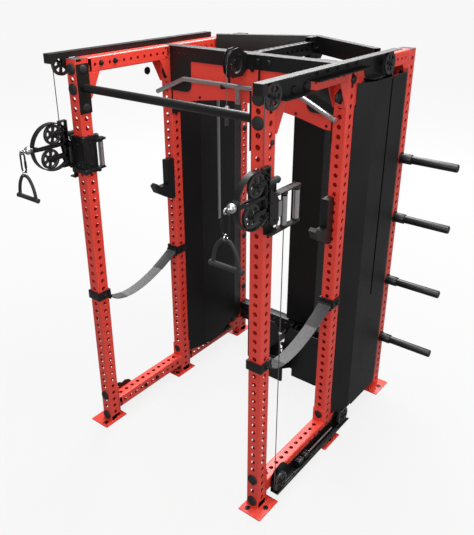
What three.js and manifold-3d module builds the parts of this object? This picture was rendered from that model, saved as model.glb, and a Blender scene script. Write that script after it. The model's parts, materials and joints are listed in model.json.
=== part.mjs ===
// Six-post power rack with two cable columns, a lat pulley overhead and a low row station.
// Millimetres, +Z up, +X to the user's right, -Y towards the user. Y is measured from the front face
// of the front posts; at the end the whole rack is shifted so that its origin is the middle of its base.
import * as THREE from 'three';
import { mergeVertices } from 'three/addons/utils/BufferGeometryUtils.js';
import Module from 'manifold-3d';

const wasm = await Module();
wasm.setup();

// ---- Driving dimensions ----
const TUBE = 76.2;               // 3 x 3 inch square tube
const WALL = 3;                  // tube wall
const RACK_WIDTH = 1244.6;       // outside to outside of the posts
const RACK_HEIGHT = 2286;
const BAY = 685.8;               // post to post, front to back
const GAP = 0.3;                 // clearance between touching pieces
const PLATE = 6;                 // flange and bracket plate
const POST_X = (RACK_WIDTH - TUBE) / 2;
const POST_OUT = POST_X + TUBE / 2;      // outer face of the posts
const POST_IN = POST_X - TUBE / 2;       // inner face of the posts
const POST_FRONT = { front: 0, mid: BAY, rear: 2 * BAY };

const FOOT = { out: 54, inner: 13, front: -57, back: 118, thick: 6.4, holeR: 8 };
const BEAM_Z = { top: RACK_HEIGHT - TUBE, bottom: 75 };

const CABLE_X = 655;             // plane of each side's cable, pulleys and swivel head
const CABLE_R = 2.4;
const PULLEY = { r: 57, groove: 50, width: 16, bore: 8.3 };        // frame pulleys
const HEAD_PULLEY = { r: 54, groove: 47.5, width: 16, bore: 8.3 };   // swivel head pulleys
const LAT_PULLEY = { r: 70, groove: 62, width: 18, bore: 8.3 };
const AXLE_R = 8;

// The cable of one side, end to end, lies in one plane. These are the centre and the cable line radius
// of every pulley it passes, with the straight runs between them upright or level.
const lineRadius = (spec) => spec.groove + CABLE_R + GAP;
const SWIVEL_Y = -57;                    // vertical swivel axis, along the cable
const ANCHOR_Y = 109.3;                  // fixed end, up the back of the trolley
const HIDDEN_R = 45;                     // cable line radius of the two pulleys inside the shroud
const TOP_FRONT = { y: SWIVEL_Y + lineRadius(PULLEY), z: 2255 };
const TOP_REAR = { y: 1042, z: 2255 };
const BOTTOM_FRONT = { y: ANCHOR_Y + lineRadius(PULLEY), z: 108 };
const STACK_WHEEL = { y: TOP_REAR.y + lineRadius(PULLEY) - HIDDEN_R, z: 1063 };
const RETURN_WHEEL = { y: STACK_WHEEL.y - 2 * HIDDEN_R, z: 2148 };
const BOTTOM_REAR = { y: RETURN_WHEEL.y - HIDDEN_R - lineRadius(PULLEY), z: 108 };
const BALL = { y: -267, z: 1861, r: 21 };
const HEAD_UPPER = { y: SWIVEL_Y - lineRadius(HEAD_PULLEY), z: BALL.z + lineRadius(HEAD_PULLEY) };
const HEAD_LOWER = { y: -139, z: 1787 };
const TROLLEY = { top: 1893, bottom: 1690 };
const HANDLE = { y: -304, clipTop: 1864, gripZ: 1619, gripLength: 171 };

const STACK = { x: 587, y: 1066.8, halfX: 58, halfY: 122, bottom: 190, top: 985, rodY: 93, rodR: 12 };
const SHROUD = { inner: 502, outer: 672, sheet: 2, bottom: 158, top: 2188, slot: 15 };
const LAT = { pulleyY: 592, pulleyZ: 2250, stopZ: 2022 };
const BAR_Z = 2122;                      // lat bar centre line
const BAR_Y = 624;

// ---- Materials ----
const paint = (color, roughness, metalness) => new THREE.MeshStandardMaterial({ color, roughness, metalness });
const red = paint(0xd83a2c, 0.45, 0.1);
const black = paint(0x1e1e20, 0.5, 0.2);
const steel = paint(0xb4b4b6, 0.3, 0.9);
const zinc = paint(0x6c6e70, 0.4, 0.8);
const iron = paint(0x232325, 0.7, 0.4);
const rubber = paint(0x141414, 0.8, 0);
const webbing = paint(0x6e6f70, 0.9, 0);

// ---- Solid helpers: three.js geometry in, manifold-3d joins and cuts, three.js mesh out ----
const POSITION_STEP = 1e-4;
function solid(geometry) {
  const bare = geometry.clone();
  bare.deleteAttribute('normal');
  bare.deleteAttribute('uv');
  const merged = mergeVertices(bare, POSITION_STEP);
  const mesh = new wasm.Mesh({
    numProp: 3,
    vertProperties: new Float32Array(merged.attributes.position.array),
    triVerts: new Uint32Array(merged.index.array),
  });
  return new wasm.Manifold(mesh);
}
const join = (...parts) => parts.flat().reduce((whole, part) => whole.add(part));
const cut = (whole, ...parts) => parts.flat().reduce((rest, part) => rest.subtract(part), whole);

function box(x0, x1, y0, y1, z0, z1) {
  const geometry = new THREE.BoxGeometry(Math.abs(x1 - x0), Math.abs(y1 - y0), Math.abs(z1 - z0));
  geometry.translate((x0 + x1) / 2, (y0 + y1) / 2, (z0 + z1) / 2);
  return solid(geometry);
}
// A round bar between two points.
function rod(from, to, radius, sides = 16) {
  const a = new THREE.Vector3(...from);
  const b = new THREE.Vector3(...to);
  const geometry = new THREE.CylinderGeometry(radius, radius, a.distanceTo(b), sides);
  const turn = new THREE.Quaternion().setFromUnitVectors(new THREE.Vector3(0, 1, 0), b.clone().sub(a).normalize());
  geometry.applyQuaternion(turn);
  geometry.translate((a.x + b.x) / 2, (a.y + b.y) / 2, (a.z + b.z) / 2);
  return solid(geometry);
}
const outline = (points) => new THREE.Shape(points.map(([u, v]) => new THREE.Vector2(u, v)));
const slab = (shape, depth) => new THREE.ExtrudeGeometry(shape, { depth, bevelEnabled: false, curveSegments: 6 });
// A plate with its outline in the Y-Z plane, from x0 to x1.
function plateYZ(points, x0, x1) {
  const geometry = slab(outline(points), Math.abs(x1 - x0));
  geometry.rotateX(Math.PI / 2);
  geometry.rotateZ(Math.PI / 2);
  geometry.translate(Math.min(x0, x1), 0, 0);
  return solid(geometry);
}
// A plate with its outline in the X-Z plane, from y0 to y1.
function plateXZ(points, y0, y1) {
  const geometry = slab(outline(points), y1 - y0);
  geometry.rotateX(Math.PI / 2);
  geometry.translate(0, y1, 0);
  return solid(geometry);
}
// A plate with its outline in the X-Y plane, from z0 to z1.
function plateXY(points, z0, z1) {
  const geometry = slab(outline(points), z1 - z0);
  geometry.translate(0, 0, z0);
  return solid(geometry);
}
// A straight hollow square tube along one axis, from a to b.
function tube(axis, a, b, u, v) {
  const half = TUBE / 2;
  const hole = half - WALL;
  const make = (h, e) => ({
    x: () => box(a - e, b + e, u - h, u + h, v - h, v + h),
    y: () => box(u - h, u + h, a - e, b + e, v - h, v + h),
    z: () => box(u - h, u + h, v - h, v + h, a - e, b + e),
  })[axis]();
  return cut(make(half, 0), make(hole, 1));
}
const arcPoints = (y, z, r, from, to, steps) => Array.from({ length: steps + 1 }, (_, i) => {
  const angle = THREE.MathUtils.degToRad(from + (to - from) * i / steps);
  return [y + r * Math.cos(angle), z + r * Math.sin(angle)];
});

const rack = new THREE.Group();
function add(name, manifold, material, group = rack) {
  const { vertProperties, triVerts } = manifold.getMesh();
  const geometry = new THREE.BufferGeometry();
  geometry.setAttribute('position', new THREE.BufferAttribute(new Float32Array(vertProperties), 3));
  geometry.setIndex(new THREE.BufferAttribute(new Uint32Array(triVerts), 1));
  geometry.computeVertexNormals();
  const mesh = new THREE.Mesh(geometry, material);
  mesh.name = name;
  group.add(mesh);
  return mesh;
}
// A grooved pulley turning about X, built round its own centre.
const PULLEY_SIDES = 20;
function pulley(spec) {
  const rim = spec.width / 2;
  const floor = CABLE_R + 0.6;
  const profile = [[spec.bore, -rim], [spec.r, -rim], [spec.groove, -floor], [spec.groove, floor],
    [spec.r, rim], [spec.bore, rim], [spec.bore, -rim]];
  const geometry = new THREE.LatheGeometry(profile.map(([r, h]) => new THREE.Vector2(r, h)), PULLEY_SIDES);
  geometry.rotateZ(Math.PI / 2);
  return solid(geometry);
}
function addPulley(name, spec, x, y, z) {
  add(name, pulley(spec), black).position.set(x, y, z);
}

// ---- Frame: posts with foot plates ----
const SIDES = { left: -1, right: 1 };
const PEG = { heights: [410, 846, 1282, 1659], collarR: 30, collarEnd: 692, pegR: 24, end: 968 };

function post(side, row) {
  const x = side * POST_X;
  const y = POST_FRONT[row];
  const foot = box(side * (POST_IN - FOOT.inner), side * (POST_OUT + FOOT.out),
    y + FOOT.front, y + FOOT.back, 0, FOOT.thick);
  const anchors = [[POST_X - 13, y - 26], [POST_OUT + 27, y + TUBE / 2]].map(([ax, ay]) =>
    rod([side * ax, ay, -1], [side * ax, ay, FOOT.thick + 1], FOOT.holeR, 10));
  let body = join(cut(foot, anchors), tube('z', FOOT.thick - 1, RACK_HEIGHT, x, y + TUBE / 2));
  if (row === 'rear') {
    const pegs = PEG.heights.flatMap((z) => [
      rod([side * (POST_OUT - 2), y + TUBE / 2, z], [side * PEG.collarEnd, y + TUBE / 2, z], PEG.collarR, 14),
      rod([side * (POST_OUT - 2), y + TUBE / 2, z], [side * PEG.end, y + TUBE / 2, z], PEG.pegR, 14),
    ]);
    body = join(body, pegs);
  }
  return body;
}
for (const [label, side] of Object.entries(SIDES)) {
  for (const row of ['front', 'mid', 'rear']) add(`post_${row}_${label}`, post(side, row), red);
}

// ---- Frame: side beams with flanges and gussets ----
const VENT_R = 12;               // drain hole through the closed ends of each welded tube
const GUSSET = { reach: 80, drop: 130, thick: 5 };
function sideBeam(side, row, level) {
  const x = side * POST_X;
  const y0 = POST_FRONT[row] + TUBE + GAP;
  const y1 = POST_FRONT[row] + BAY - GAP;
  const z0 = BEAM_Z[level];
  const span = level === 'top' ? [z0 - GUSSET.drop, RACK_HEIGHT] : [20, 240];
  const flange = (a, b) => box(x - TUBE / 2, x + TUBE / 2, a, b, ...span);
  const parts = [tube('y', y0, y1, x, z0 + TUBE / 2), flange(y0, y0 + PLATE), flange(y1 - PLATE, y1)];
  if (level === 'top') {
    for (const [end, way] of [[y0, 1], [y1, -1]]) {
      const edge = [[end, z0 + 1], [end + way * GUSSET.reach, z0 + 1], [end + way * PLATE, z0 - GUSSET.drop],
        [end, z0 - GUSSET.drop]];
      const ordered = way === 1 ? edge : edge.reverse();
      parts.push(plateYZ(ordered, side * (POST_OUT - GUSSET.thick), side * POST_OUT));
      parts.push(plateYZ(ordered, side * POST_IN, side * (POST_IN + GUSSET.thick)));
    }
  }
  const vent = rod([x, y0 - 1, z0 + TUBE / 2], [x, y1 + 1, z0 + TUBE / 2], VENT_R, 10);
  return cut(join(parts), vent);
}
for (const [label, side] of Object.entries(SIDES)) {
  for (const row of ['front', 'mid']) {
    const bay = row === 'front' ? 'front' : 'rear';
    for (const level of ['top', 'bottom']) add(`beam_${level}_${bay}_${label}`, sideBeam(side, row, level), red);
  }
}

// ---- Frame: crossmembers ----
// Lat pulley bracket on the front of the mid crossmember: two open rings with a strap down to the axle,
// and two hooks beside it that hold the lat bar.
const LAT_CHEEK = { in: 14, out: 19, windowR: 53, strap: 7, hubR: 17 };
const HOOK = { x: 100, width: 6, lip: 16 };
function latBracket() {
  const cheek = [[640, 2178], [BAY + 1, 2218], [BAY + 1, 2284], [604, 2326], [560, 2322], [530, 2298], [517, 2250],
    [528, 2206], [556, 2178]];
  const ring = (side) => {
    const x0 = side * LAT_CHEEK.in;
    const x1 = side * LAT_CHEEK.out;
    const window = rod([side * (LAT_CHEEK.in - 1), LAT.pulleyY, LAT.pulleyZ], [side * (LAT_CHEEK.out + 1), LAT.pulleyY,
      LAT.pulleyZ], LAT_CHEEK.windowR, 28);
    return join(cut(plateYZ(cheek, x0, x1), window),
      box(x0, x1, LAT.pulleyY - LAT_CHEEK.strap, LAT.pulleyY + LAT_CHEEK.strap, LAT.pulleyZ, LAT.pulleyZ + LAT_CHEEK.windowR + 4),
      rod([x0, LAT.pulleyY, LAT.pulleyZ], [x1, LAT.pulleyY, LAT.pulleyZ], LAT_CHEEK.hubR, 16));
  };
  const reach = BAR_Y - HOOK.lip;
  const seat = BAR_Z - 13 - GAP;
  const hook = (x) => plateYZ([[BAY - 3, seat - 14], [BAY - 3, BEAM_Z.top - 1], [BAY + 1, BEAM_Z.top + 3], [BAY + 1, BEAM_Z.top + 60],
    [BAY - 12, BEAM_Z.top + 60], [BAY - 16, seat + 34], [BAY - 20, seat], [reach + 4, seat], [reach + 1, seat + 15],
    [reach - 5, seat + 15], [reach - 5, seat - 8]], x - HOOK.width / 2, x + HOOK.width / 2);
  const flange = box(-60, 60, BAY - PLATE, BAY + 1, BEAM_Z.top, RACK_HEIGHT);
  const axle = rod([-15, LAT.pulleyY, LAT.pulleyZ], [15, LAT.pulleyY, LAT.pulleyZ], AXLE_R, 12);
  return [ring(-1), ring(1), flange, axle, hook(-HOOK.x), hook(HOOK.x)];
}
const CROSS_END = POST_IN - GAP;
const MID_Y = BAY + TUBE / 2;
const CORNER = { width: 156, drop: 176, thick: 5, radius: 40 };
function midCrossmember() {
  const z0 = BEAM_Z.top;
  const parts = [tube('x', -CROSS_END, CROSS_END, MID_Y, z0 + TUBE / 2)];
  for (const side of [-1, 1]) {
    parts.push(box(side * (CROSS_END - PLATE), side * CROSS_END, BAY, BAY + TUBE, 1892, RACK_HEIGHT));
    const inner = CROSS_END - CORNER.width;
    const curve = arcPoints(inner + CORNER.radius, z0 - CORNER.drop + CORNER.radius, CORNER.radius, 180, 270, 4);
    const shape = [[CROSS_END - 1, z0 - CORNER.drop], [CROSS_END - 1, z0 + 1], [inner, z0 + 1], ...curve];
    parts.push(plateXZ(shape.map(([u, v]) => [side * u, v]), BAY, BAY + CORNER.thick));
  }
  const vent = rod([-POST_IN, MID_Y, z0 + TUBE / 2], [POST_IN, MID_Y, z0 + TUBE / 2], VENT_R, 10);
  return join(cut(join(parts), vent), latBracket());
}
add('mid_crossmember', midCrossmember(), black);

// The header plate is arched below.
const HEADER = { end: CROSS_END - PLATE - GAP, endZ: 1956, crownZ: 2028, top: BEAM_Z.top - GAP, y: BAY + 6, thick: 5 };
function headerPlate() {
  const half = HEADER.end;
  const arch = new THREE.Shape();
  arch.moveTo(-half, HEADER.top);
  arch.lineTo(-half, HEADER.endZ);
  arch.lineTo(-half * 0.93, HEADER.endZ);
  arch.quadraticCurveTo(0, 2 * HEADER.crownZ - HEADER.endZ, half * 0.93, HEADER.endZ);
  arch.lineTo(half, HEADER.endZ);
  arch.lineTo(half, HEADER.top);
  const geometry = slab(arch, HEADER.thick);
  geometry.rotateX(Math.PI / 2);
  geometry.translate(0, HEADER.y + HEADER.thick, 0);
  return solid(geometry);
}
add('header_plate', headerPlate(), red);

// Pull-up bar with its end plates.
const PULL_UP = { y: TUBE / 2, z: 2142, r: 21, plateLow: 2011, plateHigh: 2262 };
add('pull_up_bar', join(
  rod([-POST_IN + 2, PULL_UP.y, PULL_UP.z], [POST_IN - 2, PULL_UP.y, PULL_UP.z], PULL_UP.r, 20),
  [-1, 1].map((side) => box(side * (POST_IN - GAP - PLATE), side * (POST_IN - GAP), 0, TUBE,
    PULL_UP.plateLow, PULL_UP.plateHigh)),
), black);

// ---- Overhead cable frame: lat bracket, centre beam, rear pulley and two arms to the stack tops ----
const REAR_CENTRE = { y: 1381, z: 2240, r: 54 };
const ARM_V = { top: 2312, bottom: 2212, thick: 46, endX: 570, endY: 1104, apexY: 1418 };
function overheadFrame() {
  const beamTop = RACK_HEIGHT;
  const spine = box(-25, 25, BAY + TUBE + GAP, 1330, beamTop - TUBE, beamTop);
  const flange = box(-60, 60, BAY + TUBE + GAP, BAY + TUBE + GAP + PLATE, beamTop - TUBE, beamTop);
  const arms = [-1, 1].map((side) => {
    const dx = ARM_V.endX;
    const dy = ARM_V.endY - ARM_V.apexY;
    const length = Math.hypot(dx, dy);
    const nx = -dy / length * ARM_V.thick / 2;
    const ny = dx / length * ARM_V.thick / 2;
    const edge = [[-nx, ARM_V.apexY - ny], [dx - nx, ARM_V.endY - ny], [dx + nx, ARM_V.endY + ny],
      [nx, ARM_V.apexY + ny]].map(([u, v]) => [side * u, v]);
    const arm = plateXY(side === 1 ? edge : edge.reverse(), ARM_V.bottom, ARM_V.top);
    return cut(arm, box(side * CROSS_END, side * (CROSS_END + 80), 1000, 1250, ARM_V.bottom - 1, ARM_V.top + 1));
  });
  const rearCheeks = [-1, 1].map((side) => plateYZ([[1310, 2190], [1440, 2175], [1462, 2200], [1462, 2300],
    [1440, ARM_V.top], [1310, ARM_V.top]], side * 15, side * 20));
  const rearRoof = box(-20, 20, 1310, 1440, ARM_V.top - 5, ARM_V.top);
  const rearWheel = rod([-9, REAR_CENTRE.y, REAR_CENTRE.z], [9, REAR_CENTRE.y, REAR_CENTRE.z], REAR_CENTRE.r, 20);
  const rearAxle = rod([-16, REAR_CENTRE.y, REAR_CENTRE.z], [16, REAR_CENTRE.y, REAR_CENTRE.z], AXLE_R, 10);
  return join(cut(join(spine, arms, box(-15, 15, 1300, 1330, 2200, ARM_V.top)),
    box(-14.9, 14.9, 1331, 1463, 2150, ARM_V.top - 6)), flange, rearCheeks, rearRoof, rearWheel, rearAxle);
}
add('overhead_frame', overheadFrame(), black);

addPulley('lat_pulley', LAT_PULLEY, 0, LAT.pulleyY, LAT.pulleyZ);

// Lat cable end: the cable over the pulley's front, the ball stop and the clip under it.
function latCableEnd() {
  const y = LAT.pulleyY - lineRadius(LAT_PULLEY);
  return join(
    rod([0, y, LAT.stopZ], [0, y, LAT.pulleyZ], CABLE_R, 8),
    solid(new THREE.SphereGeometry(18, 14, 10).rotateX(Math.PI / 2).translate(0, y, LAT.stopZ)),
    cut(plateYZ([[y - 12, LAT.stopZ - 90], [y + 12, LAT.stopZ - 90], [y + 12, LAT.stopZ - 10], [y - 12, LAT.stopZ - 10]],
      -4, 4), box(-5, 5, y - 6, y + 6, LAT.stopZ - 83, LAT.stopZ - 24)),
  );
}
add('lat_cable_end', latCableEnd(), zinc);

// Lat bar: a long bar with both ends bent down and a tee hanger under its middle.
const LAT_BAR = { bendX: 388, endX: 598, drop: 94, r: 13 };
function latBar() {
  const knee = (side) => solid(new THREE.SphereGeometry(LAT_BAR.r, 12, 8).translate(side * LAT_BAR.bendX, BAR_Y, BAR_Z));
  return join(
    rod([-LAT_BAR.bendX, BAR_Y, BAR_Z], [LAT_BAR.bendX, BAR_Y, BAR_Z], LAT_BAR.r),
    [-1, 1].map((side) => rod([side * LAT_BAR.bendX, BAR_Y, BAR_Z],
      [side * LAT_BAR.endX, BAR_Y, BAR_Z - LAT_BAR.drop], LAT_BAR.r)),
    knee(-1), knee(1),
    cut(box(-14, 14, BAR_Y - 7, BAR_Y + 7, BAR_Z - 92, BAR_Z), rod([0, BAR_Y - 9, BAR_Z - 74], [0, BAR_Y + 9, BAR_Z - 74], 8, 12)),
  );
}
add('lat_bar', latBar(), steel);

// ---- Cable arms on the outside of each column ----
const ARM = { web: 4, out: 672 };
const ARM_IN = POST_OUT + GAP;
function topArm(side) {
  const tongue = [TOP_FRONT.y - 11, TOP_FRONT.y + 11];
  const web = [[-93, 2268], [-62, 2268], [-52, 2288], [tongue[0], 2288], [tongue[0], 2243], [tongue[1], 2243],
    [tongue[1], 2288], [66, 2288], [80, 2222], [330, 2222], [330, 2262], [830, 2262], [846, 2200], [RETURN_WHEEL.y - 30, 2200],
    [RETURN_WHEEL.y - 30, RETURN_WHEEL.z - 30], [RETURN_WHEEL.y + 30, RETURN_WHEEL.z - 30],
    [RETURN_WHEEL.y + 30, 2200], [1140, 2200], [1154, 2214], [1154, 2316], [-93, 2316]];
  const lips = [[-93, 1154, 2312, 2316], [-93, -62, 2268, 2316], [80, 330, 2222, 2226], [330, 830, 2262, 2266], [846, 976, 2200, 2204]];
  const axle = (c) => rod([side * ARM_IN, c.y, c.z], [side * (CABLE_X + 12), c.y, c.z], AXLE_R, 10);
  const hidden = RETURN_WHEEL;
  return join(
    plateYZ(web, side * ARM_IN, side * (ARM_IN + ARM.web)),
    lips.map(([y0, y1, z0, z1]) => box(side * ARM_IN, side * ARM.out, y0, y1, z0, z1)),
    axle(TOP_FRONT), axle(TOP_REAR),
    rod([side * ARM_IN, hidden.y, hidden.z], [side * (CABLE_X + 7), hidden.y, hidden.z], HIDDEN_R - CABLE_R - 1, 16),
  );
}
function bottomArm(side) {
  const web = [[118, 48], [930, 48], [930, 150], [820, 158], [600, 130], [450, 150], [260, 190], [200, 190],
    [118, 150]];
  const floor = box(side * ARM_IN, side * ARM.out, 118, 930, 44, 48.5);
  const axle = (c) => rod([side * ARM_IN, c.y, c.z], [side * (CABLE_X + 12), c.y, c.z], AXLE_R, 10);
  return join(plateYZ(web, side * ARM_IN, side * (ARM_IN + ARM.web)), floor, axle(BOTTOM_FRONT), axle(BOTTOM_REAR));
}
for (const [label, side] of Object.entries(SIDES)) {
  add(`top_cable_arm_${label}`, topArm(side), black);
  add(`bottom_cable_arm_${label}`, bottomArm(side), black);
  addPulley(`top_front_pulley_${label}`, PULLEY, side * CABLE_X, TOP_FRONT.y, TOP_FRONT.z);
  addPulley(`top_rear_pulley_${label}`, PULLEY, side * CABLE_X, TOP_REAR.y, TOP_REAR.z);
  addPulley(`bottom_front_pulley_${label}`, PULLEY, side * CABLE_X, BOTTOM_FRONT.y, BOTTOM_FRONT.z);
  addPulley(`bottom_rear_pulley_${label}`, PULLEY, side * CABLE_X, BOTTOM_REAR.y, BOTTOM_REAR.z);
}

// ---- Weight stacks: folded shroud, guide rods with their base, and the stack with its pulley ----
function shroud(side) {
  const front = BAY + TUBE + GAP;
  const back = 2 * BAY - GAP;
  const mid = (front + back) / 2;
  const ring = (t) => [[POST_OUT - t, front + t], [SHROUD.outer - 22 - t, front + 70], [SHROUD.outer - t, front + 130],
    [SHROUD.outer - t, back - 130], [SHROUD.outer - 22 - t, back - 70], [POST_OUT - t, back - t],
    [POST_IN + t, back - t], [SHROUD.inner + 20 + t, back - 70], [SHROUD.inner + t, back - 130],
    [SHROUD.inner + t, front + 130], [SHROUD.inner + 20 + t, front + 70], [POST_IN + t, front + t]]
    .map(([u, v]) => [side * u, v]);
  const wind = (points) => (side === 1 ? points : points.slice().reverse());
  const shell = cut(plateXY(wind(ring(0)), SHROUD.bottom, SHROUD.top),
    plateXY(wind(ring(SHROUD.sheet)), SHROUD.bottom - 1, SHROUD.top + 1));
  const beamClear = [front - 1, back - 85].map((y) =>
    box(side * (POST_IN - 3), side * (POST_OUT + 3), y, y + 86, BEAM_Z.top - GUSSET.drop - 8, SHROUD.top + 1));
  const baseClear = box(side * (POST_IN - 1), side * (POST_OUT + 1), front - 1, back + 1, SHROUD.bottom - 1, 243);
  const innerSlot = box(side * (SHROUD.inner - 1), side * (SHROUD.inner + 6), mid - SHROUD.slot, mid + SHROUD.slot,
    1100, SHROUD.top + 1);
  const outerSlot = box(side * (SHROUD.outer - 6), side * (SHROUD.outer + 1), mid - 8, mid + 8, 900, SHROUD.top + 1);
  const armClear = box(side * (POST_OUT - 1), side * (SHROUD.outer + 1), front - 1, 934, SHROUD.bottom - 1, 170);
  const notch = plateYZ([[1100, SHROUD.bottom - 1], [1372, SHROUD.bottom - 1], [1372, 192], [1215, 192], [1215, 238], [1100, 176]],
    side * (POST_IN + 1), side * (SHROUD.inner - 1));
  return join(cut(shell, beamClear, baseClear, innerSlot, outerSlot, armClear, notch), guideRods(side));
}
function guideRods(side) {
  const rodAt = (y) => rod([side * STACK.x, y, 155], [side * STACK.x, y, 2185], STACK.rodR, 14);
  const carrier = (z0, z1) => box(side * (SHROUD.inner + 1), side * (STACK.x + 22), STACK.y - 130, STACK.y + 130, z0, z1);
  return [rodAt(STACK.y - STACK.rodY), rodAt(STACK.y + STACK.rodY),
    carrier(BEAM_Z.bottom + TUBE + GAP, 170), carrier(2174, 2186)];
}
function weightStack(side) {
  const clear = STACK.rodR + 1.5;
  const x0 = side * (STACK.x - STACK.halfX);
  const x1 = side * (STACK.x + STACK.halfX);
  const plates = box(x0, x1, STACK.y - STACK.halfY, STACK.y + STACK.halfY, STACK.bottom, STACK.top);
  const bores = [-1, 1].map((way) => rod([side * STACK.x, STACK.y + way * STACK.rodY, STACK.bottom - 1],
    [side * STACK.x, STACK.y + way * STACK.rodY, STACK.top + 1], clear, 12));
  const wheelY = STACK_WHEEL.y;
  const wheelZ = STACK_WHEEL.z;
  const bracket = box(side * (CABLE_X - 14), side * (CABLE_X - 10), wheelY - 18, wheelY + 18, STACK.top - 12, wheelZ + 20);
  const foot = box(side * (STACK.x - 20), side * (CABLE_X - 10), wheelY - 18, wheelY + 18, STACK.top - 1, STACK.top + 5);
  const wheel = rod([side * (CABLE_X - 14), wheelY, wheelZ], [side * (CABLE_X + 7), wheelY, wheelZ],
    HIDDEN_R - CABLE_R - 1, 16);
  return join(cut(plates, bores), bracket, foot, wheel);
}
for (const [label, side] of Object.entries(SIDES)) {
  add(`stack_shroud_${label}`, shroud(side), black);
  add(`weight_stack_${label}`, weightStack(side), iron);
}

// ---- Centre column for the overhead cable, behind the rear crossmember line ----
const CENTRE = { half: 115, front: 2 * BAY + 2, back: 2 * BAY + 116, bottom: 300, top: 2165, sheet: 2, rodX: 62 };
const CENTRE_Y = REAR_CENTRE.y + REAR_CENTRE.r - CABLE_R;      // overhead cable's drop line
const CENTRE_STACK = { halfX: 92, halfY: 38, bottom: 330, top: 960 };
function centreColumn() {
  const c = CENTRE;
  const shell = cut(box(-c.half, c.half, c.front, c.back, c.bottom, c.top),
    box(-c.half + c.sheet, c.half - c.sheet, c.front + c.sheet, c.back - c.sheet, c.bottom - 1, c.top + 1));
  const slot = box(-12, 12, c.back - 5, c.back + 1, 900, 2150);
  const rods = [-1, 1].map((side) => rod([side * c.rodX, CENTRE_Y, 312], [side * c.rodX, CENTRE_Y, 2155], 10, 12));
  const carrier = (z) => box(-c.half + 1, c.half - 1, CENTRE_Y - 20, CENTRE_Y + 20, z, z + 10);
  const cableHole = rod([0, CENTRE_Y, 2130], [0, CENTRE_Y, 2170], 10, 12);
  return join(cut(shell, slot), cut(join(rods, carrier(310), carrier(2145)), cableHole));
}
function centreStack() {
  const { halfX, halfY, bottom, top } = CENTRE_STACK;
  const bores = [-1, 1].map((side) => rod([side * CENTRE.rodX, CENTRE_Y, bottom - 1],
    [side * CENTRE.rodX, CENTRE_Y, top + 1], 11.5, 12));
  return join(cut(box(-halfX, halfX, CENTRE_Y - halfY, CENTRE_Y + halfY, bottom, top), bores),
    rod([0, CENTRE_Y, top - 1], [0, CENTRE_Y, top + 60], 8, 10));
}
add('centre_column', centreColumn(), black);
add('centre_weight_stack', centreStack(), iron);

// ---- Low row station between the rear posts ----
const LOW_ROW = { beamLow: 147, beamHigh: 283, plateY: 1140, toeY: 1036, toeTop: 190, wheelY: 1335, wheelZ: 245 };
function lowRowStation() {
  const y0 = 2 * BAY;
  const y1 = y0 + TUBE;
  const beam = cut(box(-CROSS_END, CROSS_END, y0, y1, LOW_ROW.beamLow, LOW_ROW.beamHigh),
    box(-CROSS_END + PLATE, CROSS_END - PLATE, y0 + WALL, y1 - WALL, LOW_ROW.beamLow + WALL, LOW_ROW.beamHigh - WALL));
  const vent = rod([-POST_IN, y0 + TUBE / 2, 215], [POST_IN, y0 + TUBE / 2, 215], VENT_R, 10);
  // Foot plate with a V notch for the cable, and a lower toe plate in front of it.
  const foot = [[92, 0], [290, 0], [300, 12], [300, 390], [62, 390], [30, 320], [0, 160], [-30, 320], [-62, 390],
    [-300, 390], [-300, 12], [-290, 0], [-92, 0], [-92, 60], [92, 60]];
  const toe = [[-70, 0], [70, 0], [80, 10], [80, LOW_ROW.toeTop], [-80, LOW_ROW.toeTop], [-80, 10]];
  const braces = [-1, 1].flatMap((side) => [
    plateYZ([[LOW_ROW.toeY + 1, 111], [LOW_ROW.plateY + 1, 64], [LOW_ROW.plateY + 1, LOW_ROW.toeTop],
      [LOW_ROW.toeY + 1, LOW_ROW.toeTop]], side * 75, side * 80),
    plateYZ([[LOW_ROW.plateY + 3, 150], [y0 + 1, 150], [y0 + 1, 215], [LOW_ROW.plateY + 3, 215]], side * 90, side * 96),
    plateYZ([[1286, 168], [y0 + 1, 168], [y0 + 1, 222], [1358, 290], [1350, 308], [1300, 308], [1278, 290]],
      side * 14, side * 19),
  ]);
  const wheel = rod([-10, LOW_ROW.wheelY, LOW_ROW.wheelZ], [10, LOW_ROW.wheelY, LOW_ROW.wheelZ], 36, 20);
  const axle = rod([-15, LOW_ROW.wheelY, LOW_ROW.wheelZ], [15, LOW_ROW.wheelY, LOW_ROW.wheelZ], AXLE_R, 10);
  return join(cut(beam, vent), plateXZ(foot, LOW_ROW.plateY, LOW_ROW.plateY + 5),
    plateXZ(toe, LOW_ROW.toeY, LOW_ROW.toeY + 5), braces, wheel, axle);
}
add('low_row_station', lowRowStation(), black);

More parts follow.
